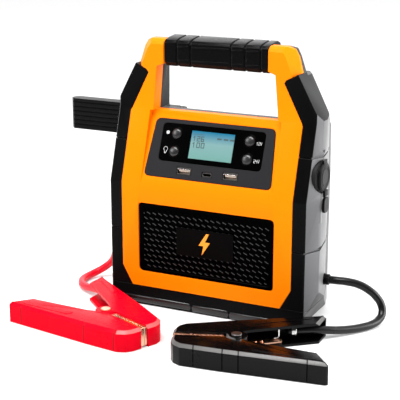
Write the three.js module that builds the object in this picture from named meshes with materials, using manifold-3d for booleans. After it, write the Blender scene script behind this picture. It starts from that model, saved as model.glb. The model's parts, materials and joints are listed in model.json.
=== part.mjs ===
// Jump starter pack: a hand-carried lithium battery booster with a front control panel, a handle
// across the top, a swing-out work lamp on the rear corner and a battery clamp on each of two leads.
// Millimetres. X runs to the right of someone facing the front, Y runs from the front to the back,
// Z is up, and the origin is on the floor below the middle of the body.
import * as THREE from 'three';
import { mergeVertices } from 'three/addons/utils/BufferGeometryUtils.js';
import Module from 'manifold-3d';

const wasm = await Module();
wasm.setup();

// Clearances
const GAP = 0.3;

// Everything below is drawn with Y measured from the front face, and moved forward by this much
const MIDDLE_Y = 46;

// Body outline, seen from the front (X, Z)
const BASE_TOP = 18;
const SHELL_BOTTOM = BASE_TOP + GAP;
const BEND_Z = 113.2;
const LEG_TOP = 238;
const FACE_HALF = 81;
const CORE_HALF = 88;
const GUARD_TOP_INNER = [63.5, 209.5];
const GUARD_TOP_OUTER = [80, 218];
const GUARD_BEND_Z = 174;

// Body outline, seen from the side (Y, Z)
const LEG_SLOPE = 0.3125;
const LEG_FRONT_Y = 20;
const LEG_FRONT_Z = BEND_Z + LEG_FRONT_Y / LEG_SLOPE;
const PARTING_Y = 32.5;
const GUARD_REAR_Y = 58;
const GUARD_LIP = 4;
const GUARD_GROOVES = [69.4, 148.6];
const GROOVE_WIDTH = 1.5;
const DEPTH = 92;
const REAR_TOP_Z = 162.5;
const LEG_REAR_Y = 60;

// Handle
const BLOCK_TOP = 175.5;
const OPENING_TOP = 214.5;
const OPENING_HALF_LOW = 59;
const OPENING_HALF_HIGH = 55.6;
const SHOULDER_INNER = 49;
const GRIP = { front: 21.7, rear: 50, low: 214.7, high: 240, lowChamfer: 3.7 };
const GRIP_GROOVES = [-37, -24, 14, 27, 41.2];
const ROD = { y: 36, z: 226.5, radius: 7, half: 58 };

// Control panel: a plane leaning back from the bend line
const PANEL_ANGLE = Math.atan(0.4);
const WALL = 3;
const BEZEL = { low: 8, high: 59.5, halfLow: 60.3, halfHigh: 56.3, corner: 5, thick: 3 };
const WINDOW = { low: 22.5, high: 55.8, half: 48.4, corner: 4, thick: 1.6 };
const LCD = { low: 26.9, high: 51.3, half: 20.3, thick: 4 };
const BUTTON = { x: 34.6, lowRow: 31.4, highRow: 47.3, radius: 4.5, rise: 2.1, stem: 6 };
const PORT_A = { x: 21.9, h: 15.2, width: 13.4, height: 6, depth: 8 };
const PORT_C = { h: 14.2, width: 9.2, height: 3.5, depth: 8 };

// Honeycomb grille and the blank plate on it
const GRILLE = { half: 64.6, low: 32.6, high: 95.6, corner: 4, depth: 2 };
const PLATE = { half: 27.2, low: 52.6, high: 77.6, thick: 0.7 };

// Twelve-volt outlet on the right side
const OUTLET = {
  y: 23, z: 132.3, bore: 10.4, barrel: 12.6, flange: 13.9, flangeLength: 8.5, face: 97, deep: 66.5,
  capRadius: 12.7,
};
const CAP_HINGE = { x: 101.5, z: 116.6, radius: 1.2 };
const STRAP = { low: 101.5, inner: 100.3, outer: 102.7, pegZ: 106, pegRadius: 2.2 };

// Battery cells: two packs of six
const CELL = { radius: 12.1, pitch: 25, length: 66, middleZ: 62, frontY: 44, packX: 39.5 };

// Leads and their glands
const GLAND = { y: 41, z: 36, tip: 101 };
const CABLE_RADIUS = 3.5;

// Work lamp on the rear left corner
const LAMP = { hingeX: -71, hingeY: 99.3, low: 133, high: 163, length: 120, thick: 13 };

// Battery clamps, in a frame with its origin at the jaw tip and X towards the handles
const CLAMP_HEIGHT = 18.4;
const CLAMP_PLATE = 2.4;
const CLAMP_PIVOT_X = 52;
const EAR_RADIUS = 9;
const ARM_INNER = 3.5;
const JAW = { start: 0.9, end: 41.5, teeth: 12, back: 3.2, low: 1.8, high: 17.4, bite: 0.6, gap: 0.6 };
const BLACK_CLAMP = { x: 14.2, y: -88.3, turn: 21, fixedSide: 1 };
const RED_CLAMP = { x: -12, y: -87, turn: 157.7, fixedSide: -1 };

const BLACK_ROUTE = [
  [101.5, 41, 36], [107.5, 41.5, 36.1], [116, 43.8, 35.6], [125, 47.4, 33.4], [133.5, 50.2, 28.8],
  [140.5, 52, 22.6], [145.2, 51.8, 15.8], [147, 48.6, 9.8], [145.8, 42.6, 5.6], [142.4, 34.6, 3.9],
  [137, 25.6, 3.7], [130.4, 16.2, 4.2], [122.4, 6, 5.6], [112.8, -4.6, 7.9], [102.4, -13.2, 9.1],
  [94.4, -18.8, 9.2], [88.4, -23, 9.2],
];
const RED_ROUTE = [
  [-101.5, 41, 36], [-105.8, 41.1, 35.8], [-110.6, 42.4, 33.4], [-114.8, 45, 28.6], [-118.6, 48, 22.4],
  [-123.2, 50.4, 16.4], [-129, 50.8, 11], [-134.6, 48, 7], [-138.8, 42, 4.7], [-140.8, 34.4, 3.8],
  [-140.4, 26.4, 3.7], [-137, 18.8, 3.8], [-131.4, 12, 4.2], [-123.2, 5.6, 5.4],
  [-113.4, 0, 7.4], [-103.6, -6, 9], [-95, -12.2, 9.2], [-84.8, -19.8, 9.2],
];

const material = (color, roughness, metalness = 0) =>
  new THREE.MeshStandardMaterial({ color, roughness, metalness });
const ORANGE = material(0xff9a10, 0.42);
const BLACK_PLASTIC = material(0x161616, 0.5);
const BLACK_RUBBER = material(0x1b1b1c, 0.72);
const BEZEL_GREY = material(0x3a3a3c, 0.5);
const GLOSS_BLACK = material(0x050505, 0.08);
const LCD_TEAL = material(0xa8d8de, 0.2);
const BUTTON_GREY = material(0x2c2c2e, 0.45);
const STEEL = material(0xc8c8c8, 0.25, 1);
const COPPER = material(0xc87850, 0.3, 1);
const RED_PLASTIC = material(0xe8132e, 0.35);
const BOARD_GREEN = material(0x1d5a34, 0.5);
const CELL_BLUE = material(0x24508c, 0.4);
const LENS_WHITE = material(0xf2f4f2, 0.2);

const object = new THREE.Group();
const pack = new THREE.Group();
pack.position.y = -MIDDLE_Y;
object.add(pack);

// ---------------------------------------------------------------- solids

function solid(geometry) {
  const bare = geometry.clone();
  bare.deleteAttribute('normal');
  bare.deleteAttribute('uv');
  const merged = mergeVertices(bare, 1e-4);
  return new wasm.Manifold(new wasm.Mesh({
    numProp: 3,
    vertProperties: Float32Array.from(merged.attributes.position.array),
    triVerts: Uint32Array.from(merged.index.array),
  }));
}

function geometryOf(manifold) {
  const mesh = manifold.getMesh();
  const geometry = new THREE.BufferGeometry();
  geometry.setAttribute('position', new THREE.BufferAttribute(Float32Array.from(mesh.vertProperties), 3));
  geometry.setIndex(new THREE.BufferAttribute(Uint32Array.from(mesh.triVerts), 1));
  return geometry;
}

function addPart(name, manifold, finish, parent = pack) {
  const geometry = geometryOf(manifold);
  geometry.computeVertexNormals();
  const mesh = new THREE.Mesh(geometry, finish.clone());
  mesh.name = name;
  parent.add(mesh);
  return mesh;
}

function cuboid(x0, x1, y0, y1, z0, z1) {
  const geometry = new THREE.BoxGeometry(x1 - x0, y1 - y0, z1 - z0);
  geometry.translate((x0 + x1) / 2, (y0 + y1) / 2, (z0 + z1) / 2);
  return solid(geometry);
}

function extrusion(points, depth) {
  const shape = new THREE.Shape(points.map(([a, b]) => new THREE.Vector2(a, b)));
  return new THREE.ExtrudeGeometry(shape, { depth, bevelEnabled: false, steps: 1 });
}

// An outline in X and Y, raised from z0 to z1, sliding in Y by `slide` on the way up.
function prismZ(points, z0, z1, slide = 0) {
  const geometry = extrusion(points, z1 - z0);
  const shear = slide / (z1 - z0);
  geometry.applyMatrix4(new THREE.Matrix4().set(1, 0, 0, 0, 0, 1, shear, 0, 0, 0, 1, z0, 0, 0, 0, 1));
  return solid(geometry);
}

// An outline in X and Z, pushed from y0 to y1.
function prismY(points, y0, y1) {
  const geometry = extrusion(points, y1 - y0);
  geometry.rotateX(Math.PI / 2);
  geometry.translate(0, y1, 0);
  return solid(geometry);
}

// An outline in Y and Z, pushed from x0 to x1.
function prismX(points, x0, x1) {
  const geometry = extrusion(points, x1 - x0);
  const basis = new THREE.Matrix4().makeBasis(
    new THREE.Vector3(0, 1, 0), new THREE.Vector3(0, 0, 1), new THREE.Vector3(1, 0, 0));
  geometry.applyMatrix4(basis);
  geometry.translate(x0, 0, 0);
  return solid(geometry);
}

// A turned piece: the profile lists [radius, height] from the bottom of the axis to its top.
function turned(profile, segments, axis, centre) {
  const geometry = new THREE.LatheGeometry(profile.map(([r, h]) => new THREE.Vector2(r, h)), segments);
  if (axis === 'x') geometry.rotateZ(-Math.PI / 2);
  if (axis === 'z') geometry.rotateX(Math.PI / 2);
  geometry.translate(...centre);
  return solid(geometry);
}

function rod(radius, length, segments, axis, centre) {
  const half = length / 2;
  return turned([[0, -half], [radius, -half], [radius, half], [0, half]], segments, axis, centre);
}

function ring(inner, outer, length, segments, axis, centre) {
  const half = length / 2;
  const profile = [[inner, -half], [outer, -half], [outer, half], [inner, half], [inner, -half]];
  return turned(profile, segments, axis, centre);
}

// Everything on the far side of a plane, within the reach of one shoulder.
function beyond(normal, point) {
  const side = 160;
  const geometry = new THREE.BoxGeometry(side, side, side);
  geometry.translate(0, 0, side / 2);
  const facing = new THREE.Vector3(...normal).normalize();
  geometry.applyQuaternion(new THREE.Quaternion().setFromUnitVectors(new THREE.Vector3(0, 0, 1), facing));
  geometry.translate(...point);
  return solid(geometry);
}

const union = (...solids) => solids.reduce((sum, next) => sum.add(next));
const mirrorPoints = (points) => points.map(([a, b]) => [-a, b]);
const bothSides = (points) => [...points, ...mirrorPoints(points).reverse()];

// A polygon with each corner replaced by an arc of the given radius.
function rounded(points, radius, steps = 4) {
  const result = [];
  points.forEach((corner, i) => {
    const here = new THREE.Vector2(...corner);
    const before = new THREE.Vector2(...points[(i + points.length - 1) % points.length]).sub(here);
    const after = new THREE.Vector2(...points[(i + 1) % points.length]).sub(here);
    const reach = Math.min(radius, before.length() / 2, after.length() / 2);
    const start = here.clone().add(before.setLength(reach));
    const end = here.clone().add(after.setLength(reach));
    const arc = new THREE.QuadraticBezierCurve(start, here, end);
    arc.getPoints(steps).forEach((p) => result.push([p.x, p.y]));
  });
  return result;
}

function rectangle(x0, x1, y0, y1) {
  return [[x0, y0], [x1, y0], [x1, y1], [x0, y1]];
}

// ---------------------------------------------------------------- body volumes

// Steps of the front face going up: height and how far back the face stands.
const FRONT_STEPS = [[-2, 0], [BEND_Z, 0], [LEG_FRONT_Z, LEG_FRONT_Y], [LEG_TOP + 12, LEG_FRONT_Y]];

// A plan outline that follows the front face, moved back by `inset`.
function frontColumn(plan, inset = 0) {
  const pieces = [];
  for (let i = 0; i + 1 < FRONT_STEPS.length; i += 1) {
    const [z0, y0] = FRONT_STEPS[i];
    const [z1, y1] = FRONT_STEPS[i + 1];
    const shifted = plan.map(([x, y]) => [x, y + y0 + inset]);
    pieces.push(prismZ(shifted, z0, z1, y1 - y0));
  }
  return union(...pieces);
}

// Half outline of the whole body from the front, guards included, from the bottom up.
const SIDE_OUTLINE = [
  [86.5, 0], [94.5, BASE_TOP - 1], [95.5, SHELL_BOTTOM + 2], [99.5, 31], [100, 70.5], [98.9, 71.5],
  [98.9, 92.5], [100, 93.5], [99.6, 151], [98.2, 152.2], [97.6, 154], [96.4, 178], [75.8, 216.5],
  [72.2, 230], [69, 235.4], [63, LEG_TOP],
];
const FRONT_PLAN = bothSides([[93, 0.9], [100.4, 17.6], [100.4, 160]]).concat([[-92, 0], [92, 0]]);
const REAR_PLAN = bothSides([
  [102, -30], [102, 6], [95.4, 43], [90.2, 60], [82.2, 88.5], [78, DEPTH]]);
const BODY_SIDE = [
  [-5, 0], [2, 0], [88, 0], [DEPTH, 4], [DEPTH, REAR_TOP_Z], [65, 169.5], [LEG_REAR_Y, 192],
  [LEG_REAR_Y, LEG_TOP - 11], [PARTING_Y + 1, LEG_TOP], [-5, LEG_TOP]];

// Planes that trim the shoulders and the upper guards, for the right side: [normal, point].
const SHOULDER_CUTS = [
  [[0.76, -0.579, 0.293], [70, 20, 215]],
  [[0.69, -0.565, 0.453], [64.6, 20, 229]],
  [[0, -0.86, 0.5], [0, 20, 233.5]],
  [[0, -0.5, 0.86], [0, 21.5, 236]],
];
const GUARD_REAR_CUT = [[0.8, 0.445, 0.397], [100.7, 38, 178]];
const CORNER_CUT = [[0.875, 0.48, 0.06], [80.3, 88.5, 150]];
const CORNER_START = 118;
const LEG_REAR_CUT = [[0.69, 0.66, 0.3], [76, 38, 218]];
const SLOPE_START = 150;
const LEG_CUT_START = 213.5;

const untrimmedBody = frontColumn(FRONT_PLAN)
  .intersect(prismZ(REAR_PLAN, -1, LEG_TOP + 1))
  .intersect(prismY(bothSides(SIDE_OUTLINE), -10, DEPTH + 10))
  .intersect(prismX(BODY_SIDE, -110, 110));
function rearCut([[nx, ny, nz], [x, y, z]], start) {
  return beyond([nx, ny, nz], [x, y, z]).add(beyond([-nx, ny, nz], [-x, y, z]))
    .intersect(cuboid(-120, 120, 0, 120, start, LEG_TOP + 5));
}
const outerBody = untrimmedBody
  .subtract(rearCut(CORNER_CUT, CORNER_START))
  .subtract(rearCut(GUARD_REAR_CUT, SLOPE_START))
  .subtract(rearCut(LEG_REAR_CUT, LEG_CUT_START));

// The shells run on under the guards with this outline.
const CORE_OUTLINE = bothSides([
  [CORE_HALF, 0], [CORE_HALF, 178.5], [70, 214.6], [70, LEG_TOP]]);
const corePlan = (grow) => rectangle(-CORE_HALF - 15, CORE_HALF + 15, GUARD_LIP - grow, 150);

function coreBody(grow) {
  const outline = CORE_OUTLINE.map(([x, z]) => [x + Math.sign(x) * grow, z]);
  return frontColumn(corePlan(grow)).intersect(prismY(outline, -10, DEPTH + 10));
}

// The region that a rubber guard covers, on the right, seen from the front.
function guardZone(grow) {
  return [
    [71.4 - grow, SHELL_BOTTOM - grow], [FACE_HALF + GAP - grow, 36 - grow],
    [FACE_HALF + GAP - grow, GUARD_BEND_Z],
    [GUARD_TOP_INNER[0] + GAP - grow, GUARD_TOP_INNER[1] - 1],
    [GUARD_TOP_INNER[0] + 2, GUARD_TOP_INNER[1] + 1.4 + grow],
    [GUARD_TOP_OUTER[0], GUARD_TOP_OUTER[1] + grow], [115, GUARD_TOP_OUTER[1] + grow],
    [115, SHELL_BOTTOM - grow],
  ];
}

function zoneSolid(grow) {
  const rear = GUARD_REAR_Y + grow;
  const right = prismY(guardZone(grow), -12, rear);
  const left = prismY(mirrorPoints(guardZone(grow)), -12, rear);
  return right.add(left);
}

const shellBody = outerBody
  .intersect(cuboid(-120, 120, -10, 120, SHELL_BOTTOM, LEG_TOP + 5))
  .subtract(zoneSolid(GAP).subtract(coreBody(0)));

// The opening under the grip, and the notch that the grip lies in.
const handleOpening = prismY([
  [-OPENING_HALF_LOW, BLOCK_TOP], [OPENING_HALF_LOW, BLOCK_TOP], [OPENING_HALF_HIGH, OPENING_TOP],
  [SHOULDER_INNER, OPENING_TOP + 2.5], [SHOULDER_INNER, LEG_TOP + 5], [-SHOULDER_INNER, LEG_TOP + 5],
  [-SHOULDER_INNER, OPENING_TOP + 2.5], [-OPENING_HALF_HIGH, OPENING_TOP]], -20, 130);

// The control block leans back more than the legs, and its top falls away behind the handle opening.
const blockFront = prismX([
  [-20, BEND_Z], [0, BEND_Z], [0.4 * (BLOCK_TOP - BEND_Z), BLOCK_TOP], [-20, BLOCK_TOP]],
  -OPENING_HALF_LOW - 3, OPENING_HALF_LOW + 3);
const blockRear = prismX([[40, BLOCK_TOP], [130, BLOCK_TOP - 22.5], [130, 214], [40, 214]], -70, 70)
  .intersect(prismZ(bothSides([[57.5, 30], [57.5, 48], [66, 61], [66, 130]]), BLOCK_TOP - 30, 220));

// Sloping front edges of the shoulders above the guards.
function shoulderChamfer(side) {
  const above = prismY([
    [side * 60, 208.5], [side * 66, 210.5], [side * 82, 216.8], [side * 110, 216.8],
    [side * 110, 250], [side * 40, 250], [side * 40, 216]], 0, 60);
  const cuts = SHOULDER_CUTS.map(([normal, point]) => beyond(
    [normal[0] * side, normal[1], normal[2]], [point[0] * side, point[1], point[2]]));
  return union(...cuts).intersect(above);
}

const outletHole = rod(OUTLET.barrel + GAP, 48, 28, 'x', [86.2, OUTLET.y, OUTLET.z]);
const rodHole = rod(ROD.radius + GAP, 2 * ROD.half + 1, 20, 'x', [0, ROD.y, ROD.z]);
const glandHoles = union(...[-1, 1].map((side) => rod(5.3, 40, 16, 'x', [side * 90, GLAND.y, GLAND.z])));

// ---------------------------------------------------------------- shells, guards and base

function panelFrame(manifold) {
  const geometry = geometryOf(manifold);
  geometry.rotateX(-PANEL_ANGLE);
  geometry.translate(0, 0, BEND_Z);
  return solid(geometry);
}

function bezelOutline(grow) {
  const outline = [
    [-BEZEL.halfLow - grow, BEZEL.low - grow], [BEZEL.halfLow + grow, BEZEL.low - grow],
    [BEZEL.halfHigh + grow, BEZEL.high + grow], [-BEZEL.halfHigh - grow, BEZEL.high + grow]];
  return rounded(outline, BEZEL.corner, 4);
}

function grilleOutline(grow) {
  const half = GRILLE.half + grow;
  return rounded(rectangle(-half, half, GRILLE.low - grow, GRILLE.high + grow), GRILLE.corner, 3);
}

function frontShell() {
  const cavity = frontColumn(rectangle(-CORE_HALF + WALL, CORE_HALF - WALL, GUARD_LIP + WALL, 150))
    .intersect(cuboid(-90, 90, -10, 60, SHELL_BOTTOM + WALL, BLOCK_TOP - 30));
  const panelCavity = panelFrame(prismY(rectangle(-55, 55, 6, 61), WALL, 60))
    .intersect(cuboid(-55, 55, -10, 60, 100, BLOCK_TOP - WALL));
  const pocket = prismY(grilleOutline(GAP), -1, GRILLE.depth + 1.3);
  const panelHole = panelFrame(prismY(bezelOutline(GAP), -10, WALL + 3));
  return shellBody
    .intersect(cuboid(-120, 120, -10, PARTING_Y, 0, 300))
    .subtract(handleOpening)
    .subtract(blockFront)
    .subtract(shoulderChamfer(1)).subtract(shoulderChamfer(-1))
    .subtract(cavity).subtract(panelCavity)
    .subtract(pocket).subtract(panelHole)
    .subtract(prismY(rectangle(-GRILLE.half + 4, GRILLE.half - 4, GRILLE.low + 4, GRILLE.high - 4), -1, 10))
    .subtract(outletHole)
    .subtract(rodHole);
}

const SCREWS = [[-70, 40], [70, 40], [-70, 140], [70, 140]];

function rearShell() {
  const inside = bothSides([[CORE_HALF - WALL, 30], [CORE_HALF - WALL, 58], [78, 84], [74, DEPTH - WALL]]);
  const cavity = prismZ(inside, SHELL_BOTTOM + WALL, BLOCK_TOP - 19);
  let shell = shellBody
    .intersect(cuboid(-120, 120, PARTING_Y + GAP, 120, 0, 300))
    .subtract(handleOpening)
    .subtract(blockRear)
    .subtract(cavity)
    .subtract(outletHole)
    .subtract(glandHoles)
    .subtract(rodHole);
  SCREWS.forEach(([x, z]) => {
    shell = shell.subtract(rod(4.3, 8, 14, 'y', [x, DEPTH, z]));
  });
  return shell;
}

// Shallow grooves that run round the guards.
function guardGrooves() {
  const inside = frontColumn(bothSides([[92.2, 2], [99.1, 18], [99.1, 160]]).concat([[-91.6, 1], [91.6, 1]]))
    .intersect(prismZ(bothSides([[101, -30], [101, 6], [94.4, 42.6], [89.1, 60], [89.1, 90]]), 0, LEG_TOP));
  const slots = union(...GUARD_GROOVES.map((z) => cuboid(-120, 120, -10, 120, z, z + GROOVE_WIDTH)));
  return slots.subtract(inside);
}

function guards() {
  const body = outerBody.intersect(zoneSolid(0)).subtract(coreBody(GAP)).subtract(guardGrooves());
  const bored = body
    .subtract(rod(OUTLET.flange + GAP, 60, 32, 'x', [90, OUTLET.y, OUTLET.z]))
    .subtract(rod(STRAP.pegRadius + GAP, 12, 12, 'x', [100, OUTLET.y, STRAP.pegZ]))
    .subtract(glandHoles);
  addPart('right_guard', bored.intersect(cuboid(0, 120, -20, 120, 0, 250)), BLACK_RUBBER);
  const left = body.subtract(glandHoles).intersect(cuboid(-120, 0, -20, 120, 0, 250));
  addPart('left_guard', left, BLACK_RUBBER);
}

function baseBumper() {
  const foot = outerBody.intersect(cuboid(-120, 120, -10, 120, -1, BASE_TOP));
  const toe = prismX([[-1, -1], [1.6, -1], [-0.1, 4.2], [-1, 4.2]], -110, 110);
  const tray = prismZ(bothSides([[84, 8], [84, 56], [74, 84]]), 5, 30);
  return foot.subtract(toe).subtract(tray);
}

// ---------------------------------------------------------------- handle

function handleGrip() {
  const { front, rear, low, high, lowChamfer } = GRIP;
  const section = (inset) => {
    const [y0, y1, z0, z1] = [front + inset, rear - inset, low + inset, high - inset];
    return [
      [y0, z0 + lowChamfer], [y0 + lowChamfer, z0], [y1 - lowChamfer, z0], [y1, z0 + lowChamfer],
      [y1, z1 - 7], [y1 - 3, z1 - 2], [y1 - 8.5, z1], [y0 + 8, z1 - 1.1], [y0 + 2, z1 - 2.5], [y0, z1 - 5]];
  };
  const end = SHOULDER_INNER - GAP;
  let grip = prismX(section(0), -end, end);
  GRIP_GROOVES.forEach((x) => {
    const groove = prismX(section(-3), x - 0.9, x + 0.9).subtract(prismX(section(1.2), x - 2, x + 2));
    grip = grip.subtract(groove);
  });
  return grip.subtract(rod(ROD.radius + GAP, 120, 20, 'x', [0, ROD.y, ROD.z]));
}

// ---------------------------------------------------------------- control panel

const panel = new THREE.Group();
panel.rotation.x = -PANEL_ANGLE;
panel.position.z = BEND_Z;
pack.add(panel);

function buildPanel() {
  const field = ({ half, low, high }, grow) => rectangle(-half - grow, half + grow, low - grow, high + grow);
  const windowOutline = (grow) => rounded(field(WINDOW, grow), WINDOW.corner, 4);
  const lcdOutline = (grow) => field(LCD, grow);
  const portHole = (x, h, { width, height }) => {
    const [w, t] = [width / 2 + GAP, height / 2 + GAP];
    return cuboid(x - w, x + w, -5, 12, h - t, h + t);
  };
  const bezel = prismY(bezelOutline(0), -0.6, BEZEL.thick - 0.6)
    .subtract(prismY(windowOutline(GAP), -5, 10))
    .subtract(portHole(-PORT_A.x, PORT_A.h, PORT_A))
    .subtract(portHole(PORT_A.x, PORT_A.h, PORT_A))
    .subtract(portHole(0, PORT_C.h, PORT_C));
  addPart('control_bezel', bezel, BEZEL_GREY, panel);

  const buttonHole = (x, h) => rod(BUTTON.radius + GAP, 20, 20, 'y', [x, 0, h]);
  const glass = prismY(windowOutline(0), -0.4, WINDOW.thick - 0.4)
    .subtract(prismY(lcdOutline(GAP), -5, 10))
    .subtract(buttonHole(-BUTTON.x, BUTTON.highRow)).subtract(buttonHole(BUTTON.x, BUTTON.highRow))
    .subtract(buttonHole(-BUTTON.x, BUTTON.lowRow)).subtract(buttonHole(BUTTON.x, BUTTON.lowRow));
  addPart('display_window', glass, GLOSS_BLACK, panel);
  addPart('lcd_module', prismY(lcdOutline(0), -0.3, LCD.thick), LCD_TEAL, panel);

  const { rise, radius, stem } = BUTTON;
  const dome = [
    [0, -rise], [1.6, -rise + 0.15], [3, -rise + 0.6], [4, -rise + 1.3], [radius, -0.4],
    [radius, 2.4], [2, 2.4], [2, stem], [0, stem]];
  const buttons = [
    ['power_button', -BUTTON.x, BUTTON.highRow], ['light_button', -BUTTON.x, BUTTON.lowRow],
    ['start_12v_button', BUTTON.x, BUTTON.highRow], ['start_24v_button', BUTTON.x, BUTTON.lowRow]];
  buttons.forEach(([name, x, h]) => addPart(name, turned(dome, 18, 'y', [x, 0, h]), BUTTON_GREY, panel));

  const port = (x, h, size) => {
    const [w, t] = [size.width / 2, size.height / 2];
    const shell = cuboid(x - w, x + w, -0.3, size.depth, h - t, h + t);
    const mouth = cuboid(x - w + 0.5, x + w - 0.5, -2, size.depth - 1.2, h - t + 0.5, h + t - 0.5);
    const tongue = cuboid(x - w + 1.6, x + w - 1.6, 0.8, size.depth - 0.5, h - 0.1, h + t * 0.45);
    return shell.subtract(mouth).add(tongue);
  };
  addPart('usb_a_port_left', port(-PORT_A.x, PORT_A.h, PORT_A), STEEL, panel);
  addPart('usb_a_port_right', port(PORT_A.x, PORT_A.h, PORT_A), STEEL, panel);
  addPart('usb_c_port', port(0, PORT_C.h, PORT_C), STEEL, panel);
  addPart('control_board', cuboid(-46, 46, 9, 10.6, 12, 54), BOARD_GREEN, panel);
}

function grillePanel() {
  const plate = prismY(grilleOutline(0), 0.9, GRILLE.depth + 1);
  const ledge = 3;
  const half = GRILLE.half - ledge;
  const rim = prismY(rounded(rectangle(-half, half, GRILLE.low + ledge, GRILLE.high - ledge), 3, 3), 0, 1.6);
  const rear = prismY(rectangle(-half + 2.5, half - 2.5, GRILLE.low + 5.5, GRILLE.high - 5.5), 2, 6);
  return plate.subtract(rim).add(rear);
}

// ---------------------------------------------------------------- inside the case

function cellPack(centreX) {
  const { radius, pitch, length, middleZ, frontY } = CELL;
  const cells = [];
  for (let column = -1; column <= 1; column += 1) {
    for (let row = 0; row <= 1; row += 1) {
      cells.push(rod(radius, length, 16, 'z', [centreX + column * pitch, frontY + row * pitch, middleZ]));
    }
  }
  const holder = cuboid(centreX - 34, centreX + 34, frontY - 8, frontY + pitch + 8, middleZ - 4, middleZ + 4);
  return union(holder, ...cells);
}

function batteryCradle() {
  const tray = prismZ(bothSides([[80, 27], [80, 62], [75.5, 84]]), 22.2, 32);
  const well = prismZ([[0.8, 29], [78.4, 29], [78.4, 62], [74.2, 82.4], [0.8, 82.4]], 25.5, 40);
  return tray.subtract(well).subtract(well.mirror([1, 0, 0]));
}

function busbar(side) {
  const outline = [
    [side * 84.4, 26], [side * 84.4, 99.5], [side * 30, 99.5], [side * 30, 97.5], [side * 82.4, 97.5],
    [side * 82.4, 26]];
  return prismY(outline, 48, 57.5);
}

// ---------------------------------------------------------------- outlet, glands and lamp

function outletSocket() {
  const { y, z, face, deep } = OUTLET;
  const barrel = rod(OUTLET.barrel, face - deep + 4, 28, 'x', [(face + deep - 4) / 2, y, z]);
  const flange = rod(OUTLET.flange, OUTLET.flangeLength, 32, 'x', [face - OUTLET.flangeLength / 2, y, z]);
  const bore = rod(OUTLET.bore, face - deep + 10, 24, 'x', [(face + deep + 10) / 2, y, z]);
  return barrel.add(flange).subtract(bore);
}

function socketCap() {
  const { y, z } = OUTLET;
  const face = OUTLET.face + GAP;
  const radius = OUTLET.capRadius;
  const profile = [
    [0, face], [radius - 1, face], [radius, face + 1], [radius, face + 2.8], [radius - 1.4, face + 3.8],
    [0, face + 3.8]];
  const disc = turned(profile, 32, 'x', [0, y, z]);
  const plug = rod(OUTLET.bore - 1.2, 3, 20, 'x', [face - 0.7, y, z]);
  const tab = cuboid(face + 1.8, face + 3.6, y - 4, y + 4, z + 10, z + 14.5);
  const tail = cuboid(CAP_HINGE.x - 1, CAP_HINGE.x + 1, y - 4, y + 4, CAP_HINGE.z, z - radius + 1.4);
  const knuckle = rod(CAP_HINGE.radius, 8, 12, 'y', [CAP_HINGE.x, y, CAP_HINGE.z]);
  return union(disc, plug, tab, tail, knuckle);
}

function capStrap() {
  const { y } = OUTLET;
  const top = CAP_HINGE.z - CAP_HINGE.radius - GAP;
  const outline = rounded(rectangle(y - 5.5, y + 5.5, STRAP.low, top), 4.5, 4);
  const peg = rod(STRAP.pegRadius, 5, 12, 'x', [STRAP.inner - 2, y, STRAP.pegZ]);
  return prismX(outline, STRAP.inner, STRAP.outer).add(peg);
}

function gland(side) {
  const profile = [[0, 84], [5, 84], [5, 97.2], [4.6, 98.2], [4.5, GLAND.tip], [0, GLAND.tip]];
  const body = turned(profile, 16, 'x', [0, 0, 0]);
  const bored = body.subtract(rod(2.6, 40, 12, 'x', [88, 0, 0]));
  const geometry = geometryOf(bored);
  if (side < 0) geometry.rotateZ(Math.PI);
  geometry.translate(0, GLAND.y, GLAND.z);
  return solid(geometry);
}

function buildLamp() {
  const { hingeX, hingeY, low, high, thick, length } = LAMP;
  const front = hingeY - thick / 2;
  const back = hingeY + thick / 2;
  const tip = hingeX - length;
  const root = hingeX - 5;
  const outline = [
    [root, front], [tip + 4, front], [tip, front + 4], [tip, back - 4], [tip + 4, back], [root, back]];
  let housing = prismZ(outline, low, high);
  housing = housing.subtract(cuboid(tip + 6, hingeX - 14, back - 5, back + 2, low + 4, high - 4));
  for (let i = 0; i < 6; i += 1) {
    const z = low + 3.6 + i * 4.4;
    housing = housing.subtract(cuboid(tip - 2, hingeX - 12, front - 1, front + 1.6, z, z + 1.7));
  }
  const knuckle = rod(4.6, high - low - 16.6, 18, 'z', [hingeX, hingeY, (low + high) / 2]);
  const neck = cuboid(hingeX - 6, hingeX, hingeY - 3.4, hingeY + 3.4, low + 8.3, high - 8.3);
  const eye = rod(2.3, 60, 14, 'z', [hingeX, hingeY, (low + high) / 2]);
  addPart('lamp_housing', union(housing, knuckle, neck).subtract(eye), BLACK_PLASTIC);
  const insert = (y0, y1) => cuboid(tip + 6.4, hingeX - 14.4, y0, y1, low + 4.4, high - 4.4);
  addPart('lamp_board', insert(back - 4.6, back - 3.4), LENS_WHITE);
  addPart('lamp_lens', insert(back - 1.8, back - 0.2), LENS_WHITE);

  const arm = (z0, z1) => union(
    rod(4.6, z1 - z0, 18, 'z', [hingeX, hingeY, (z0 + z1) / 2]),
    cuboid(hingeX - 4.4, hingeX + 4.4, DEPTH + GAP, hingeY, z0, z1));
  const plate = cuboid(hingeX - 4.4, hingeX + 4.4, DEPTH + GAP, DEPTH + GAP + 2, low, high);
  const bracket = union(plate, arm(low, low + 8), arm(high - 8, high)).subtract(eye);
  addPart('lamp_bracket', bracket, BLACK_PLASTIC);
  addPart('lamp_hinge_pin', rod(2, high - low - 1, 14, 'z', [hingeX, hingeY, (low + high) / 2]), STEEL);
}

// ---------------------------------------------------------------- leads and clamps

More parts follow.
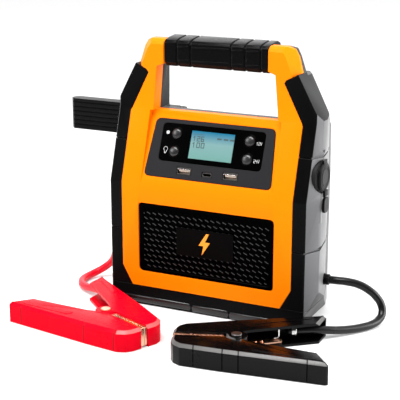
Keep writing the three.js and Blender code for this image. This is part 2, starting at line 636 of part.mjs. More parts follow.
function cable(route) {
  const curve = new THREE.CatmullRomCurve3(route.map((p) => new THREE.Vector3(...p)), false, 'centripetal');
  const section = new THREE.Shape();
  const sides = 10;
  for (let i = 0; i < sides; i += 1) {
    const angle = (i / sides) * 2 * Math.PI;
    const point = [CABLE_RADIUS * Math.cos(angle), CABLE_RADIUS * Math.sin(angle)];
    if (i === 0) section.moveTo(...point);
    else section.lineTo(...point);
  }
  return solid(new THREE.ExtrudeGeometry(section, { steps: 26, bevelEnabled: false, extrudePath: curve }));
}

// One arm's outline on the side given by `side` (+1 or -1), from the jaw tip round to the handle.
function armOutline(side) {
  const outline = [
    [0, ARM_INNER], [0, 12.5], [2.4, 18.4], [8, 23.6], [38, 31.6], [62, 37.2], [122.6, 51], [124.6, 49.6],
    [118.6, 31.8], [62, 11.6], [50, ARM_INNER]];
  return outline.map(([x, y]) => [x, y * side]);
}

function armChannel(side) {
  const outline = [
    [2.6, -4], [2.6, 12.2], [4.6, 16.8], [9.4, 21.2], [38.6, 29], [62.6, 34.6], [132, 50.3], [132, -4]];
  return outline.map(([x, y]) => [x, y * side]);
}

function fixedArm(side) {
  const top = CLAMP_HEIGHT;
  const ear = (z) => rod(EAR_RADIUS, CLAMP_PLATE, 20, 'z', [CLAMP_PIVOT_X, 0, z]);
  return prismZ(armOutline(side), 0, top)
    .subtract(prismZ(armChannel(side), CLAMP_PLATE, top - CLAMP_PLATE))
    .add(ear(CLAMP_PLATE / 2))
    .add(ear(top - CLAMP_PLATE / 2))
    .subtract(rod(2.7, 60, 14, 'z', [CLAMP_PIVOT_X, 0, 0]));
}

function movingArm(side) {
  const foot = 0.4;
  const top = CLAMP_HEIGHT;
  const lowPlate = foot + CLAMP_PLATE;
  const highPlate = top - CLAMP_PLATE;
  const inner = CLAMP_PLATE;
  const notch = rod(EAR_RADIUS + 0.5, 60, 20, 'z', [CLAMP_PIVOT_X, 0, 0]);
  const cheekOutline = rectangle(34, 66, side * ARM_INNER, side * 30);
  const own = prismZ(armOutline(side), foot, top);
  const shell = own
    .subtract(prismZ(armChannel(side), lowPlate, highPlate))
    .subtract(notch);
  const cheek = (z0, z1) => prismZ(cheekOutline, z0, z1).intersect(own);
  const ear = (z0) => rod(EAR_RADIUS, inner, 20, 'z', [CLAMP_PIVOT_X, 0, z0 + inner / 2]);
  const lowCheek = cheek(lowPlate - 0.1, lowPlate + inner);
  const highCheek = cheek(highPlate - inner - GAP, highPlate + 0.1);
  const clearLow = notch.intersect(cuboid(0, 100, -40, 40, -5, lowPlate));
  const clearHigh = notch.intersect(cuboid(0, 100, -40, 40, highPlate - GAP, 30));
  return shell
    .add(lowCheek.subtract(clearLow))
    .add(highCheek.subtract(clearHigh))
    .add(ear(lowPlate))
    .add(ear(highPlate - inner - GAP))
    .subtract(rod(2.7, 60, 14, 'z', [CLAMP_PIVOT_X, 0, 0]));
}

// A strip with saw teeth: `valley` and `peak` are how far each stands off the closing line.
function copperJaw(side, valley, peak) {
  const { start, end, teeth, back, low, high } = JAW;
  const pitch = (end - start) / teeth;
  const outline = [[start, side * back]];
  for (let i = 0; i < teeth; i += 1) {
    outline.push([start + pitch * i, side * valley]);
    outline.push([start + pitch * (i + 0.5), side * peak]);
  }
  outline.push([end, side * valley], [end, side * back]);
  return prismZ(outline, low, high);
}

function terminal(side) {
  const outline = [[58, 14], [63, 26.5], [88, 30], [88, 24], [70, 17]].map(([x, y]) => [x, y * side]);
  const rivets = [[66, 20.5], [71, 22.5]].map(([x, y]) => rod(1.5, 1.6, 10, 'z', [x, y * side, 4.6]));
  return union(prismZ(outline, 2.8, 4.2), ...rivets);
}

function buildClamp(colour, place, finish) {
  const group = new THREE.Group();
  group.position.set(place.x, place.y, 0);
  group.rotation.z = THREE.MathUtils.degToRad(place.turn);
  pack.add(group);
  const side = place.fixedSide;
  addPart(`${colour}_clamp_fixed_arm`, fixedArm(side), finish, group);
  addPart(`${colour}_clamp_moving_arm`, movingArm(-side), finish, group);
  const high = (JAW.gap / 2) + JAW.bite;
  const low = (JAW.gap / 2) - JAW.bite;
  addPart(`${colour}_clamp_fixed_jaw`, copperJaw(side, high, low), COPPER, group);
  addPart(`${colour}_clamp_moving_jaw`, copperJaw(-side, low, high), COPPER, group);
  const pin = union(
    rod(2.4, 18.2, 14, 'z', [CLAMP_PIVOT_X, 0, 9.6]), rod(4.2, 1.1, 16, 'z', [CLAMP_PIVOT_X, 0, 19.25]));
  addPart(`${colour}_clamp_pin`, pin, STEEL, group);
  const coil = ring(3.2, 5.8, 6.4, 16, 'z', [CLAMP_PIVOT_X, 0, 9.3]);
  addPart(`${colour}_clamp_spring`, coil, STEEL, group);
  addPart(`${colour}_clamp_terminal`, terminal(side), COPPER, group);
  const clip = ring(CABLE_RADIUS + GAP, CABLE_RADIUS + 1.4, 4, 16, 'x', [0, 0, 0]);
  const clipGeometry = geometryOf(clip);
  clipGeometry.rotateZ(side * THREE.MathUtils.degToRad(13.5));
  clipGeometry.translate(97, side * 35.6, 9.2);
  addPart(`${colour}_clamp_cable_clip`, solid(clipGeometry), STEEL, group);
}

// ---------------------------------------------------------------- assembly

addPart('front_shell', frontShell(), ORANGE);
addPart('rear_shell', rearShell(), BLACK_PLASTIC);
guards();
addPart('base_bumper', baseBumper(), BLACK_RUBBER);
addPart('handle_grip', handleGrip(), BLACK_RUBBER);
addPart('handle_rod', rod(ROD.radius, 2 * ROD.half, 20, 'x', [0, ROD.y, ROD.z]), STEEL);
buildPanel();
addPart('grille_panel', grillePanel(), BLACK_PLASTIC);
addPart('badge_plate', prismY(rounded(rectangle(-PLATE.half, PLATE.half, PLATE.low, PLATE.high), 1.5, 2),
  1.6 - GAP - PLATE.thick, 1.6 - GAP), BLACK_PLASTIC);
addPart('battery_cradle', batteryCradle(), BLACK_PLASTIC);
addPart('battery_pack_left', cellPack(-CELL.packX), CELL_BLUE);
addPart('battery_pack_right', cellPack(CELL.packX), CELL_BLUE);
addPart('main_board', cuboid(-60, 60, 14, 15.6, 30, 100), BOARD_GREEN);
addPart('positive_busbar', busbar(-1), COPPER);
addPart('negative_busbar', busbar(1), COPPER);
addPart('outlet_socket', outletSocket(), STEEL);
addPart('socket_cap', socketCap(), BLACK_RUBBER);
addPart('cap_strap', capStrap(), BLACK_RUBBER);
addPart('left_gland', gland(-1), BLACK_RUBBER);
addPart('right_gland', gland(1), BLACK_RUBBER);
buildLamp();
const SCREW_PROFILE = [
  [0, DEPTH - 3.6], [4, DEPTH - 3.6], [4, DEPTH - 1.4], [3, DEPTH - 0.8], [0, DEPTH - 0.8]];
SCREWS.forEach(([x, z], i) => {
  const head = turned(SCREW_PROFILE, 14, 'y', [x, 0, z]);
  const slot = cuboid(x - 0.5, x + 0.5, DEPTH - 2, DEPTH + 1, z - 2.4, z + 2.4);
  const cross = cuboid(x - 2.4, x + 2.4, DEPTH - 2, DEPTH + 1, z - 0.5, z + 0.5);
  addPart(`case_screw_${i + 1}`, head.subtract(slot).subtract(cross), STEEL);
});
addPart('red_cable', cable(RED_ROUTE), RED_PLASTIC);
addPart('black_cable', cable(BLACK_ROUTE), BLACK_RUBBER);
buildClamp('red', RED_CLAMP, RED_PLASTIC);
buildClamp('black', BLACK_CLAMP, BLACK_PLASTIC);

export default object;
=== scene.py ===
import json
import math

import bmesh
import bpy
from mathutils import Matrix, Vector

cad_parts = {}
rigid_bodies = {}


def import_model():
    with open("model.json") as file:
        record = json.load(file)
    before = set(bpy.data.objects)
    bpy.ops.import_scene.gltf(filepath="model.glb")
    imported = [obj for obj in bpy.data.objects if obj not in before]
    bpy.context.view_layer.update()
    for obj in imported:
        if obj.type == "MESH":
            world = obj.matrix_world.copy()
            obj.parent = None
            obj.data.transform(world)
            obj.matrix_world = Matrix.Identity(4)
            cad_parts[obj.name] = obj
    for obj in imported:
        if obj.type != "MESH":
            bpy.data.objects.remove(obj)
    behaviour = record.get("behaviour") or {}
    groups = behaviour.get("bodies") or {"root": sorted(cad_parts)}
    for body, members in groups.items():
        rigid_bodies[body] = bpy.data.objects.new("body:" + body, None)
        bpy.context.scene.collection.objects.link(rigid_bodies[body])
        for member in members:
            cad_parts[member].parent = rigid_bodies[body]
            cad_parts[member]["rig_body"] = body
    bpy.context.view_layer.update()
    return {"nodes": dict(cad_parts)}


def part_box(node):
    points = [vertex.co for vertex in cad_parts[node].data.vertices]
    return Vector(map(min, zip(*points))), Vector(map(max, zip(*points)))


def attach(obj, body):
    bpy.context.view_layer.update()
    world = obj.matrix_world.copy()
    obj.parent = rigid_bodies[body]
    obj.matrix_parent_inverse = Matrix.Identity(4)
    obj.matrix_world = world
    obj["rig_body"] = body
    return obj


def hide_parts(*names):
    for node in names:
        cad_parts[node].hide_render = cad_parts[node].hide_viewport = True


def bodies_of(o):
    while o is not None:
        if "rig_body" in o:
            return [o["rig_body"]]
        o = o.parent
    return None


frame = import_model()
NODES = frame["nodes"]
SCENE = bpy.context.scene
MIDDLE_Y = 46.0  # the pack is drawn with Y from its front face, as in the CAD source
MILLIMETRES = Matrix.Scale(0.001, 4)


def at(x, y, z):
    """A drawing point in millimetres as a point of the row frame in metres."""
    return Vector((x / 1000, (y - MIDDLE_Y) / 1000, z / 1000))


# ---------------------------------------------------------------- camera

CAMERA_PLACE = (419.65, -868.5, 376.8)
CAMERA_TILT, CAMERA_TURN = 74.30, 26.0
FOCAL_LENGTH, SENSOR_WIDTH = 105.2, 36.0


def make_camera():
    data = bpy.data.cameras.new("camera")
    data.lens = FOCAL_LENGTH
    data.sensor_width = SENSOR_WIDTH
    camera = bpy.data.objects.new("camera", data)
    camera.location = at(*CAMERA_PLACE)
    camera.rotation_euler = (math.radians(CAMERA_TILT), 0.0, math.radians(CAMERA_TURN))
    SCENE.collection.objects.link(camera)
    SCENE.camera = camera


make_camera()


# ---------------------------------------------------------------- materials

def nodes_of(material):
    """Turns a material's nodes on: its node tree and its shader."""
    material.use_nodes = True
    tree = material.node_tree
    shader = tree.nodes["Principled BSDF"]
    return tree, shader


MOTTLE_SCALE = 38.0
GRAIN_DEPTH = 0.0004
SHEEN_ROUGHNESS = 0.35


def surface(name, colour, rough, metal=0.0, grain=0.0, grain_scale=900.0, mottle=0.08, edge=0.0006,
            specular=0.5, clear=0.0, sheen=0.0, rough_spread=0.06, streak=0.0):
    """A moulded or plated finish: rounded edges, fine grain, faint mottling and uneven gloss.

    `edge` is the radius in metres that sharp edges are shaded with, `clear` is how much light passes
    through, and `streak` draws the grain out along Z.
    """
    material = bpy.data.materials.new(name)
    tree, shader = nodes_of(material)
    new, link = tree.nodes.new, tree.links.new
    shader.inputs["Metallic"].default_value = metal
    shader.inputs["Specular IOR Level"].default_value = specular
    shader.inputs["Transmission Weight"].default_value = clear
    shader.inputs["Sheen Weight"].default_value = sheen
    shader.inputs["Sheen Roughness"].default_value = SHEEN_ROUGHNESS
    place = new("ShaderNodeTexCoord")
    broad = new("ShaderNodeTexNoise")
    broad.inputs["Scale"].default_value = MOTTLE_SCALE
    broad.inputs["Detail"].default_value = 4.0
    link(place.outputs["Object"], broad.inputs["Vector"])
    fine = new("ShaderNodeTexNoise")
    fine.inputs["Scale"].default_value = grain_scale
    fine.inputs["Detail"].default_value = 2.0
    stretch = new("ShaderNodeMapping")
    stretch.inputs["Scale"].default_value = (1.0, 1.0, 1.0 - 0.9 * streak)
    link(place.outputs["Object"], stretch.inputs["Vector"])
    link(stretch.outputs["Vector"], fine.inputs["Vector"])
    shade = new("ShaderNodeMix")
    shade.data_type = "RGBA"
    dark = [c * (1.0 - mottle) for c in colour]
    light = [min(1.0, c * (1.0 + mottle)) for c in colour]
    shade.inputs["A"].default_value = (*dark, 1.0)
    shade.inputs["B"].default_value = (*light, 1.0)
    link(broad.outputs["Fac"], shade.inputs["Factor"])
    link(shade.outputs["Result"], shader.inputs["Base Color"])
    gloss = new("ShaderNodeMapRange")
    gloss.inputs["From Min"].default_value = 0.3
    gloss.inputs["From Max"].default_value = 0.7
    gloss.inputs["To Min"].default_value = max(0.02, rough - rough_spread)
    gloss.inputs["To Max"].default_value = min(1.0, rough + rough_spread)
    link(broad.outputs["Fac"], gloss.inputs["Value"])
    link(gloss.outputs["Result"], shader.inputs["Roughness"])
    soften = new("ShaderNodeBevel")
    soften.samples = 4
    soften.inputs["Radius"].default_value = edge
    bump = new("ShaderNodeBump")
    bump.inputs["Strength"].default_value = grain
    bump.inputs["Distance"].default_value = GRAIN_DEPTH
    link(fine.outputs["Fac"], bump.inputs["Height"])
    link(soften.outputs["Normal"], bump.inputs["Normal"])
    link(bump.outputs["Normal"], shader.inputs["Normal"])
    return material


ORANGE = surface("orange_shell", (1.0, 0.205, 0.0), 0.40, grain=0.08, grain_scale=1400, mottle=0.03,
                 edge=0.0006, specular=0.05)
CASE_BLACK = surface("case_black", (0.006, 0.006, 0.0065), 0.5, grain=0.30, grain_scale=1100, specular=0.15,
                     sheen=0.25)
GUARD = surface("guard_rubber", (0.001, 0.001, 0.0012), 0.34, grain=0.10, grain_scale=1500, edge=0.0006,
                specular=0.04, sheen=0.22)
# Painted light: a paler grey for the upright side walls of the guards and the bumper, standing in for the
# light that falls on them
GUARD_SIDE_PAINTED_LIGHT = surface("guard_side_painted_light", (0.060, 0.060, 0.064), 0.38, grain=0.16, grain_scale=1500, edge=0.0006,
                     specular=0.3, sheen=0.45)
BUMPER_EDGE = surface("bumper_edge", (0.004, 0.004, 0.0043), 0.3, grain=0.05, edge=0.0002)
GRIP_RUBBER = surface("grip_rubber", (0.001, 0.001, 0.0012), 0.28, grain=0.14, grain_scale=1300,
                      edge=0.0005, specular=0.04, sheen=0.18)
BEZEL = surface("bezel_grey", (0.012, 0.012, 0.0135), 0.5, grain=0.22, grain_scale=1500, specular=0.10)
WINDOW = surface("window_black", (0.0005, 0.0005, 0.0005), 0.12, mottle=0.02, rough_spread=0.03,
                 edge=0.0003, specular=0.03)
BUTTON = surface("button_black", (0.010, 0.010, 0.011), 0.28, grain=0.05, edge=0.0003, specular=0.5)
STEEL = surface("plated_steel", (0.80, 0.80, 0.79), 0.22, metal=1.0, grain=0.03, streak=0.9)
DARK_STEEL = surface("spring_steel", (0.30, 0.29, 0.28), 0.35, metal=1.0, grain=0.05)
PORT_METAL = surface("port_metal", (0.07, 0.065, 0.06), 0.4, metal=1.0, grain=0.05)
TONGUE = surface("port_tongue", (0.66, 0.58, 0.48), 0.45, mottle=0.05, edge=0.0001, specular=0.3)
COPPER = surface("copper_plate", (0.93, 0.50, 0.34), 0.28, metal=1.0, grain=0.06, mottle=0.15)
GRILLE = surface("grille_black", (0.0002, 0.0002, 0.0002), 0.20, grain=0.04, edge=0.0001, specular=0.008)
# Painted highlight: a grey for the strips along the cells' lower edges, where they catch the light
DASH_HIGHLIGHT = surface("grille_dash_highlight", (0.042, 0.042, 0.043), 0.3, grain=0.05, edge=0.0001, specular=0.2)
BADGE = surface("badge_black", (0.0006, 0.0006, 0.0006), 0.45, grain=0.10, edge=0.0002, specular=0.03)
LAMP = surface("lamp_black", (0.002, 0.002, 0.002), 0.42, grain=0.20, grain_scale=1200, specular=0.06,
               sheen=0.12)
LENS = surface("lamp_lens", (0.80, 0.83, 0.84), 0.12, grain=0.10, grain_scale=700, mottle=0.02, clear=0.9)
LED_PLATE = surface("led_plate", (0.42, 0.43, 0.42), 0.5, mottle=0.05)
LED_YELLOW = surface("led_yellow", (0.95, 0.72, 0.10), 0.3, mottle=0.1)
BOARD = surface("circuit_board", (0.02, 0.12, 0.05), 0.4, mottle=0.3)
CELLS = surface("cell_wrap", (0.03, 0.10, 0.35), 0.3, mottle=0.1)
CLAMP_RED = surface("clamp_red", (0.66, 0.0006, 0.012), 0.28, grain=0.04, mottle=0.05, edge=0.0005,
                    specular=0.025)
CLAMP_BLACK = surface("clamp_black", (0.0012, 0.0012, 0.0013), 0.20, grain=0.06, edge=0.0005, specular=0.12)
# Painted highlights: paler materials for the top chamfers of the clamp arms, standing in for the light they
# catch
RED_EDGE_HIGHLIGHT = surface("clamp_red_edge_highlight", (0.80, 0.10, 0.10), 0.3, grain=0.04, edge=0.0003, specular=0.2)
CLAMP_EDGE_HIGHLIGHT = surface("clamp_edge_highlight", (0.075, 0.072, 0.070), 0.3, grain=0.04, edge=0.0003, specular=0.3)
LEAD_RED = surface("lead_red", (0.80, 0.001, 0.016), 0.34, grain=0.10, edge=0.0002, specular=0.2)
LEAD_BLACK = surface("lead_black", (0.004, 0.004, 0.004), 0.28, grain=0.10, edge=0.0002, specular=0.25)
SEAM_RED = surface("seam_red", (0.30, 0.0005, 0.005), 0.5, mottle=0.05, edge=0.0001, specular=0.1)
SEAM_BLACK = surface("seam_black", (0.001, 0.001, 0.001), 0.6, mottle=0.05, edge=0.0001, specular=0.02)
SEAM_FINISH = {"red": SEAM_RED, "black": SEAM_BLACK}
PRINT_WHITE = surface("print_white", (0.70, 0.71, 0.71), 0.6, mottle=0.05, edge=0.0001)
PRINT_ORANGE = surface("print_orange", (1.0, 0.33, 0.01), 0.5, mottle=0.05, edge=0.0001)
SEGMENT = surface("lcd_segment", (0.02, 0.05, 0.055), 0.5, mottle=0.05, edge=0.0001)


DISPLAY_BOTTOM = (0.105, 0.24, 0.215, 1)
DISPLAY_MIDDLE = (0.14, 0.26, 0.26, 1)
DISPLAY_TOP = (0.003, 0.115, 0.21, 1)


def display_glass():
    """The lit display: pale blue-green, deeper blue at the top, with faint pixel rows."""
    material = bpy.data.materials.new("display_glass")
    tree, shader = nodes_of(material)
    new, link = tree.nodes.new, tree.links.new
    place = new("ShaderNodeTexCoord")
    apart = new("ShaderNodeSeparateXYZ")
    link(place.outputs["Object"], apart.inputs["Vector"])
    low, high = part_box("lcd_module")
    up = new("ShaderNodeMapRange")
    up.inputs["From Min"].default_value = low.z
    up.inputs["From Max"].default_value = high.z
    link(apart.outputs["Z"], up.inputs["Value"])
    ramp = new("ShaderNodeValToRGB")
    ramp.color_ramp.elements[0].color = DISPLAY_BOTTOM
    ramp.color_ramp.elements[1].color = DISPLAY_TOP
    middle = ramp.color_ramp.elements.new(0.6)
    middle.color = DISPLAY_MIDDLE
    link(up.outputs["Result"], ramp.inputs["Fac"])
    rows = new("ShaderNodeTexWave")
    rows.bands_direction = "Z"
    rows.inputs["Scale"].default_value = 900.0
    link(place.outputs["Object"], rows.inputs["Vector"])
    mix = new("ShaderNodeMix")
    mix.data_type = "RGBA"
    mix.blend_type = "MULTIPLY"
    mix.inputs["Factor"].default_value = 0.06
    link(ramp.outputs["Color"], mix.inputs["A"])
    link(rows.outputs["Color"], mix.inputs["B"])
    link(mix.outputs["Result"], shader.inputs["Base Color"])
    link(mix.outputs["Result"], shader.inputs["Emission Color"])
    shader.inputs["Emission Strength"].default_value = 0.02
    shader.inputs["Roughness"].default_value = 0.12
    return material


DISPLAY = display_glass()


# ---------------------------------------------------------------- mesh helpers

def add_object(name, mesh_data, material, body):
    """A visible piece with one material, riding on a body."""
    made = bpy.data.objects.new(name, mesh_data)
    SCENE.collection.objects.link(made)
    made.data.materials.append(material)
    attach(made, body)
    return made


def mesh_from(bm, name):
    """Ends a bmesh: its faces turned outwards, as mesh data."""
    bmesh.ops.recalc_face_normals(bm, faces=bm.faces)
    data = bpy.data.meshes.new(name)
    bm.to_mesh(data)
    bm.free()
    return data


def smooth(made, angle):
    """Smooth shading, with edges sharper than `angle` degrees left hard."""
    for face in made.data.polygons:
        face.use_smooth = True
    made.data.set_sharp_from_angle(angle=math.radians(angle))


def bevelled(made, width, segments=2, angle=30.0):
    """Rounds the edges sharper than `angle` degrees by `width` metres."""
    step = made.modifiers.new("edges", "BEVEL")
    step.width = width
    step.segments = segments
    step.limit_method = "ANGLE"
    step.angle_limit = math.radians(angle)


def prism(bm, outline, low, high, place):
    """A straight prism: outline points (a, b) from low to high along the third axis of `place`."""
    bottom = [bm.verts.new(place @ Vector((a, b, low))) for a, b in outline]
    top = [bm.verts.new(place @ Vector((a, b, high))) for a, b in outline]
    bm.faces.new(bottom[::-1])
    bm.faces.new(top)
    count = len(outline)
    for i in range(count):
        j = (i + 1) % count
        bm.faces.new((bottom[i], bottom[j], top[j], top[i]))


def lathe(bm, profile, segments, place):
    """Turns (radius, height) points round the third axis of `place`; a radius of 0 closes the end."""
    rings = []
    for radius, height in profile:
        if radius == 0:
            rings.append([bm.verts.new(place @ Vector((0, 0, height)))])
            continue
        ring = []
        for i in range(segments):
            turn = 2 * math.pi * i / segments
            point = Vector((radius * math.cos(turn), radius * math.sin(turn), height))
            ring.append(bm.verts.new(place @ point))
        rings.append(ring)
    for lower, upper in zip(rings, rings[1:]):
        for i in range(segments):
            j = (i + 1) % segments
            corners = [lower[i % len(lower)], lower[j % len(lower)],
                       upper[j % len(upper)], upper[i % len(upper)]]
            unique = list(dict.fromkeys(corners))
            if len(unique) > 2:
                bm.faces.new(unique)


def skin(bm, rings):
    """Faces between open rows of vertices, one row after the other."""
    for lower, upper in zip(rings, rings[1:]):
        for i in range(len(lower) - 1):
            bm.faces.new((lower[i], lower[i + 1], upper[i + 1], upper[i]))


def spline(name, points, radius, material, body, resolution=8):
    """A round bar or wire along the points, already in the row frame."""
    data = bpy.data.curves.new(name, "CURVE")
    data.dimensions = "3D"
    data.resolution_u = resolution
    data.bevel_depth = radius
    data.bevel_resolution = 5
    data.use_fill_caps = True
    line = data.splines.new("BEZIER")
    line.bezier_points.add(len(points) - 1)
    for point, target in zip(line.bezier_points, points):
        point.co = target
        point.handle_left_type = point.handle_right_type = "AUTO"
    return add_object(name, data, material, body)


# Turns a frame so that its second axis points up and its third to the front, out of the pack
OUTWARD = Matrix(((1, 0, 0, 0), (0, 0, -1, 0), (0, 1, 0, 0), (0, 0, 0, 1)))
# The control panel starts at this height and leans back by this angle
PANEL_FOOT = 113.2
PANEL_ANGLE = math.atan(0.4)
PANEL = Matrix.Translation(at(0, 0, PANEL_FOOT)) @ Matrix.Rotation(-PANEL_ANGLE, 4, "X") @ MILLIMETRES
# The panel's face: X right, second axis up the slope, third axis out of the panel
FACE = PANEL @ OUTWARD
# The front face: X right, second axis up, third axis out of the face
FRONT = Matrix.Translation(at(0, 0, 0)) @ MILLIMETRES @ OUTWARD


def sideways(y, z, side=1):
    """A frame through (y, z) whose third axis points out of the pack's right side, or left for side -1."""
    return Matrix.Translation(at(0, y, z)) @ MILLIMETRES @ Matrix.Rotation(math.radians(90 * side), 4, "Y")


# Where each clamp lies: tip (X, Y), turn in degrees, and the side of the fixed arm, as in the CAD source
CLAMPS = {"black": (14.2, -88.3, 21.0, 1), "red": (-12.0, -87.0, 157.7, -1)}
PIVOT_X = 52.0
CLAMP_HEIGHT = 18.4


def clamp_frame(colour):
    """Millimetres in a clamp's own frame (X from the jaw tip to the handles) to the row frame."""
    x, y, turn, _ = CLAMPS[colour]
    return Matrix.Translation(at(x, y, 0)) @ Matrix.Rotation(math.radians(turn), 4, "Z") @ MILLIMETRES


def fixed_side(colour):
    """The side of a clamp that its fixed arm is on: 1 or -1 along the second axis of its frame."""
    return CLAMPS[colour][3]


# ---------------------------------------------------------------- leads

CABLE_DIAMETER = 0.007
BLACK_ROUTE = [
    (101.5, 41, 36), (107.5, 41.5, 36.1), (116, 43.8, 35.6), (125, 47.4, 33.4), (133.5, 50.2, 28.8),
    (140.5, 52, 22.6), (145.2, 51.8, 15.8), (147, 48.6, 9.8), (145.8, 42.6, 5.6), (142.4, 34.6, 3.9),
    (137, 25.6, 3.7), (130.4, 16.2, 4.2), (122.4, 6, 5.6), (112.8, -4.6, 7.9), (102.4, -13.2, 9.1),
    (94.4, -18.8, 9.2), (88.4, -23, 9.2),
]
RED_ROUTE = [
    (-101.5, 41, 36), (-105.8, 41.1, 35.8), (-110.6, 42.4, 33.4), (-114.8, 45, 28.6), (-118.6, 48, 22.4),
    (-123.2, 50.4, 16.4), (-129, 50.8, 11), (-134.6, 48, 7), (-138.8, 42, 4.7), (-140.8, 34.4, 3.8),
    (-140.4, 26.4, 3.7), (-137, 18.8, 3.8), (-131.4, 12, 4.2), (-123.2, 5.6, 5.4),
    (-113.4, 0, 7.4), (-103.6, -6, 9), (-95, -12.2, 9.2), (-84.8, -19.8, 9.2),
]


def lead(name, route, material):
    """A lead along its route, with the clamp on its far end."""
    points = [at(*p) for p in route]
    made = spline(name + "_lead", points, CABLE_DIAMETER / 2, material, "pack")
    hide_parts(name + "_cable")


# ---------------------------------------------------------------- finishes on the CAD nodes

FINISHES = {
    "front_shell": ORANGE, "rear_shell": CASE_BLACK, "left_guard": GUARD, "right_guard": GUARD,
    "base_bumper": GUARD, "handle_grip": GRIP_RUBBER, "handle_rod": STEEL, "control_bezel": BEZEL,
    "display_window": WINDOW, "lcd_module": DISPLAY, "grille_panel": GRILLE, "badge_plate": BADGE,
    "battery_cradle": CASE_BLACK, "battery_pack_left": CELLS, "battery_pack_right": CELLS,
    "main_board": BOARD, "control_board": BOARD, "positive_busbar": COPPER, "negative_busbar": COPPER,
    "outlet_socket": CASE_BLACK, "socket_cap": GUARD, "cap_strap": GUARD, "left_gland": GUARD,
    "right_gland": GUARD, "lamp_housing": LAMP, "lamp_bracket": LAMP, "lamp_board": LED_PLATE,
    "lamp_lens": LENS, "lamp_hinge_pin": STEEL, "usb_a_port_left": STEEL, "usb_a_port_right": STEEL,
    "usb_c_port": STEEL,
}


def finish_of(name):
    """The material of a CAD node, by its name."""
    if name in FINISHES:
        return FINISHES[name]
    if name.endswith("_button"):
        return BUTTON
    if name.startswith("case_screw"):
        return DARK_STEEL
    if name.endswith(("_jaw", "_terminal")):
        return COPPER
    if name.endswith("_clamp_pin"):
        return COPPER if name.startswith("red") else DARK_STEEL
    if name.endswith(("_pin", "_spring", "_clip")):
        return STEEL
    if name.endswith("_cable"):
        return LEAD_RED if name.startswith("red") else LEAD_BLACK
    return CLAMP_RED if name.startswith("red") else CLAMP_BLACK


def body_of(name):
    """The moving body that a CAD node belongs to."""
    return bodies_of(NODES[name])[0]


for node_name, node in NODES.items():
    node.data.materials.clear()
    node.data.materials.append(finish_of(node_name))


# ---------------------------------------------------------------- refined copies of moulded pieces

# Node name: width of the rounding on its edges, in metres
ROUNDED = {
    "front_shell": 0.0011, "rear_shell": 0.0012, "left_guard": 0.0011, "right_guard": 0.0011,
    "base_bumper": 0.0012, "lamp_housing": 0.0006, "lamp_bracket": 0.0005,
    "outlet_socket": 0.0003, "left_gland": 0.0004, "right_gland": 0.0004, "socket_cap": 0.0004,
    "cap_strap": 0.0005, "control_bezel": 0.0004, "handle_grip": 0.0006,
    "red_clamp_fixed_arm": 0.0011, "red_clamp_moving_arm": 0.0011,
    "black_clamp_fixed_arm": 0.0011, "black_clamp_moving_arm": 0.0011,
}
# Edges sharper than this are rounded, and faces that meet at less than FLAT_ANGLE are one face
WALL_ANGLE = 24.0
FLAT_ANGLE = 1.5
# Pieces whose side walls get a paler base colour: painted light, standing in for the light that falls on
# those walls
FLANKED = ("left_guard", "right_guard", "base_bumper")
# The chamfer along the top of a clamp arm in metres, and how far from the tip the red one carries its
# painted highlight, in mm
ARM_CHAMFER = 0.0026
RED_HIGHLIGHT_END = 7.0


def outer_rim(bm, colour):
    """The upper outer edges of a clamp arm: between its top and a wall that faces away from the clamp."""
    inward = clamp_frame(colour) @ Vector((60, 0, CLAMP_HEIGHT))
    rims = []
    for edge in bm.edges:
        if len(edge.link_faces) != 2 or any(abs(v.co.z - inward.z) > 0.0002 for v in edge.verts):
            continue
        normals = [face.normal for face in edge.link_faces]
        tops = [n for n in normals if n.z > 0.99]
        walls = [n for n in normals if abs(n.z) < 0.1]
        middle = (edge.verts[0].co + edge.verts[1].co) / 2
        if tops and walls and edge.calc_length() > 0.002 and walls[0].dot(middle - inward) > 0.012:
            rims.append(edge)
    return rims


def moulded_mesh(name):
    """A CAD node's mesh in the row frame: its flat faces merged, and a clamp arm's outer rim chamfered."""
    source = NODES[name]
    bm = bmesh.new()
    bm.from_mesh(source.data)
    bm.transform(source.matrix_world)
    bmesh.ops.remove_doubles(bm, verts=bm.verts, dist=0.00002)
    bmesh.ops.dissolve_limit(bm, angle_limit=math.radians(FLAT_ANGLE), verts=bm.verts, edges=bm.edges)
    if name.endswith("_arm"):
        rims = outer_rim(bm, name.split("_")[0])
        bmesh.ops.bevel(bm, geom=rims, offset=ARM_CHAMFER, segments=1, profile=0.5, affect="EDGES")
    data = bpy.data.meshes.new(name + "_moulded")
    bm.to_mesh(data)
    bm.free()
    return data


def painted_light_walls(data):
    """Gives the upright side walls of a guard or the bumper a paler material: painted light, standing in for
    the light those walls catch.
    """
    data.materials.append(GUARD_SIDE_PAINTED_LIGHT)
    for face in data.polygons:
        if abs(face.normal.x) > 0.85 and abs(face.normal.z) < 0.2:
            face.material_index = 1


def highlighted_chamfer(data, colour):
    """Gives an arm's chamfer a painted highlight, a paler material: all along the black clamp, and near the
    tip of the red one.
    """
    data.materials.append(RED_EDGE_HIGHLIGHT if colour == "red" else CLAMP_EDGE_HIGHLIGHT)
    to_clamp = clamp_frame(colour).inverted()
    for face in data.polygons:
        near_tip = (to_clamp @ face.center).x < RED_HIGHLIGHT_END
        if 0.45 < face.normal.z < 0.9 and (near_tip or colour == "black"):
            face.material_index = 1


def refine(name, width):
    """The moulded shape of a CAD node with every hard edge rounded over."""
    data = moulded_mesh(name)
    made = add_object(name + "_moulded", data, finish_of(name), body_of(name))
    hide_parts(name)
    bevelled(made, width, segments=3, angle=WALL_ANGLE)
    # Painted light: the side walls of the guards and the bumper get the paler grey
    if name in FLANKED:
        painted_light_walls(data)
    # Painted highlight: the clamp arms' top chamfers get a paler material
    if name.endswith("_arm"):
        highlighted_chamfer(data, name.split("_")[0])
    smooth(made, 40)


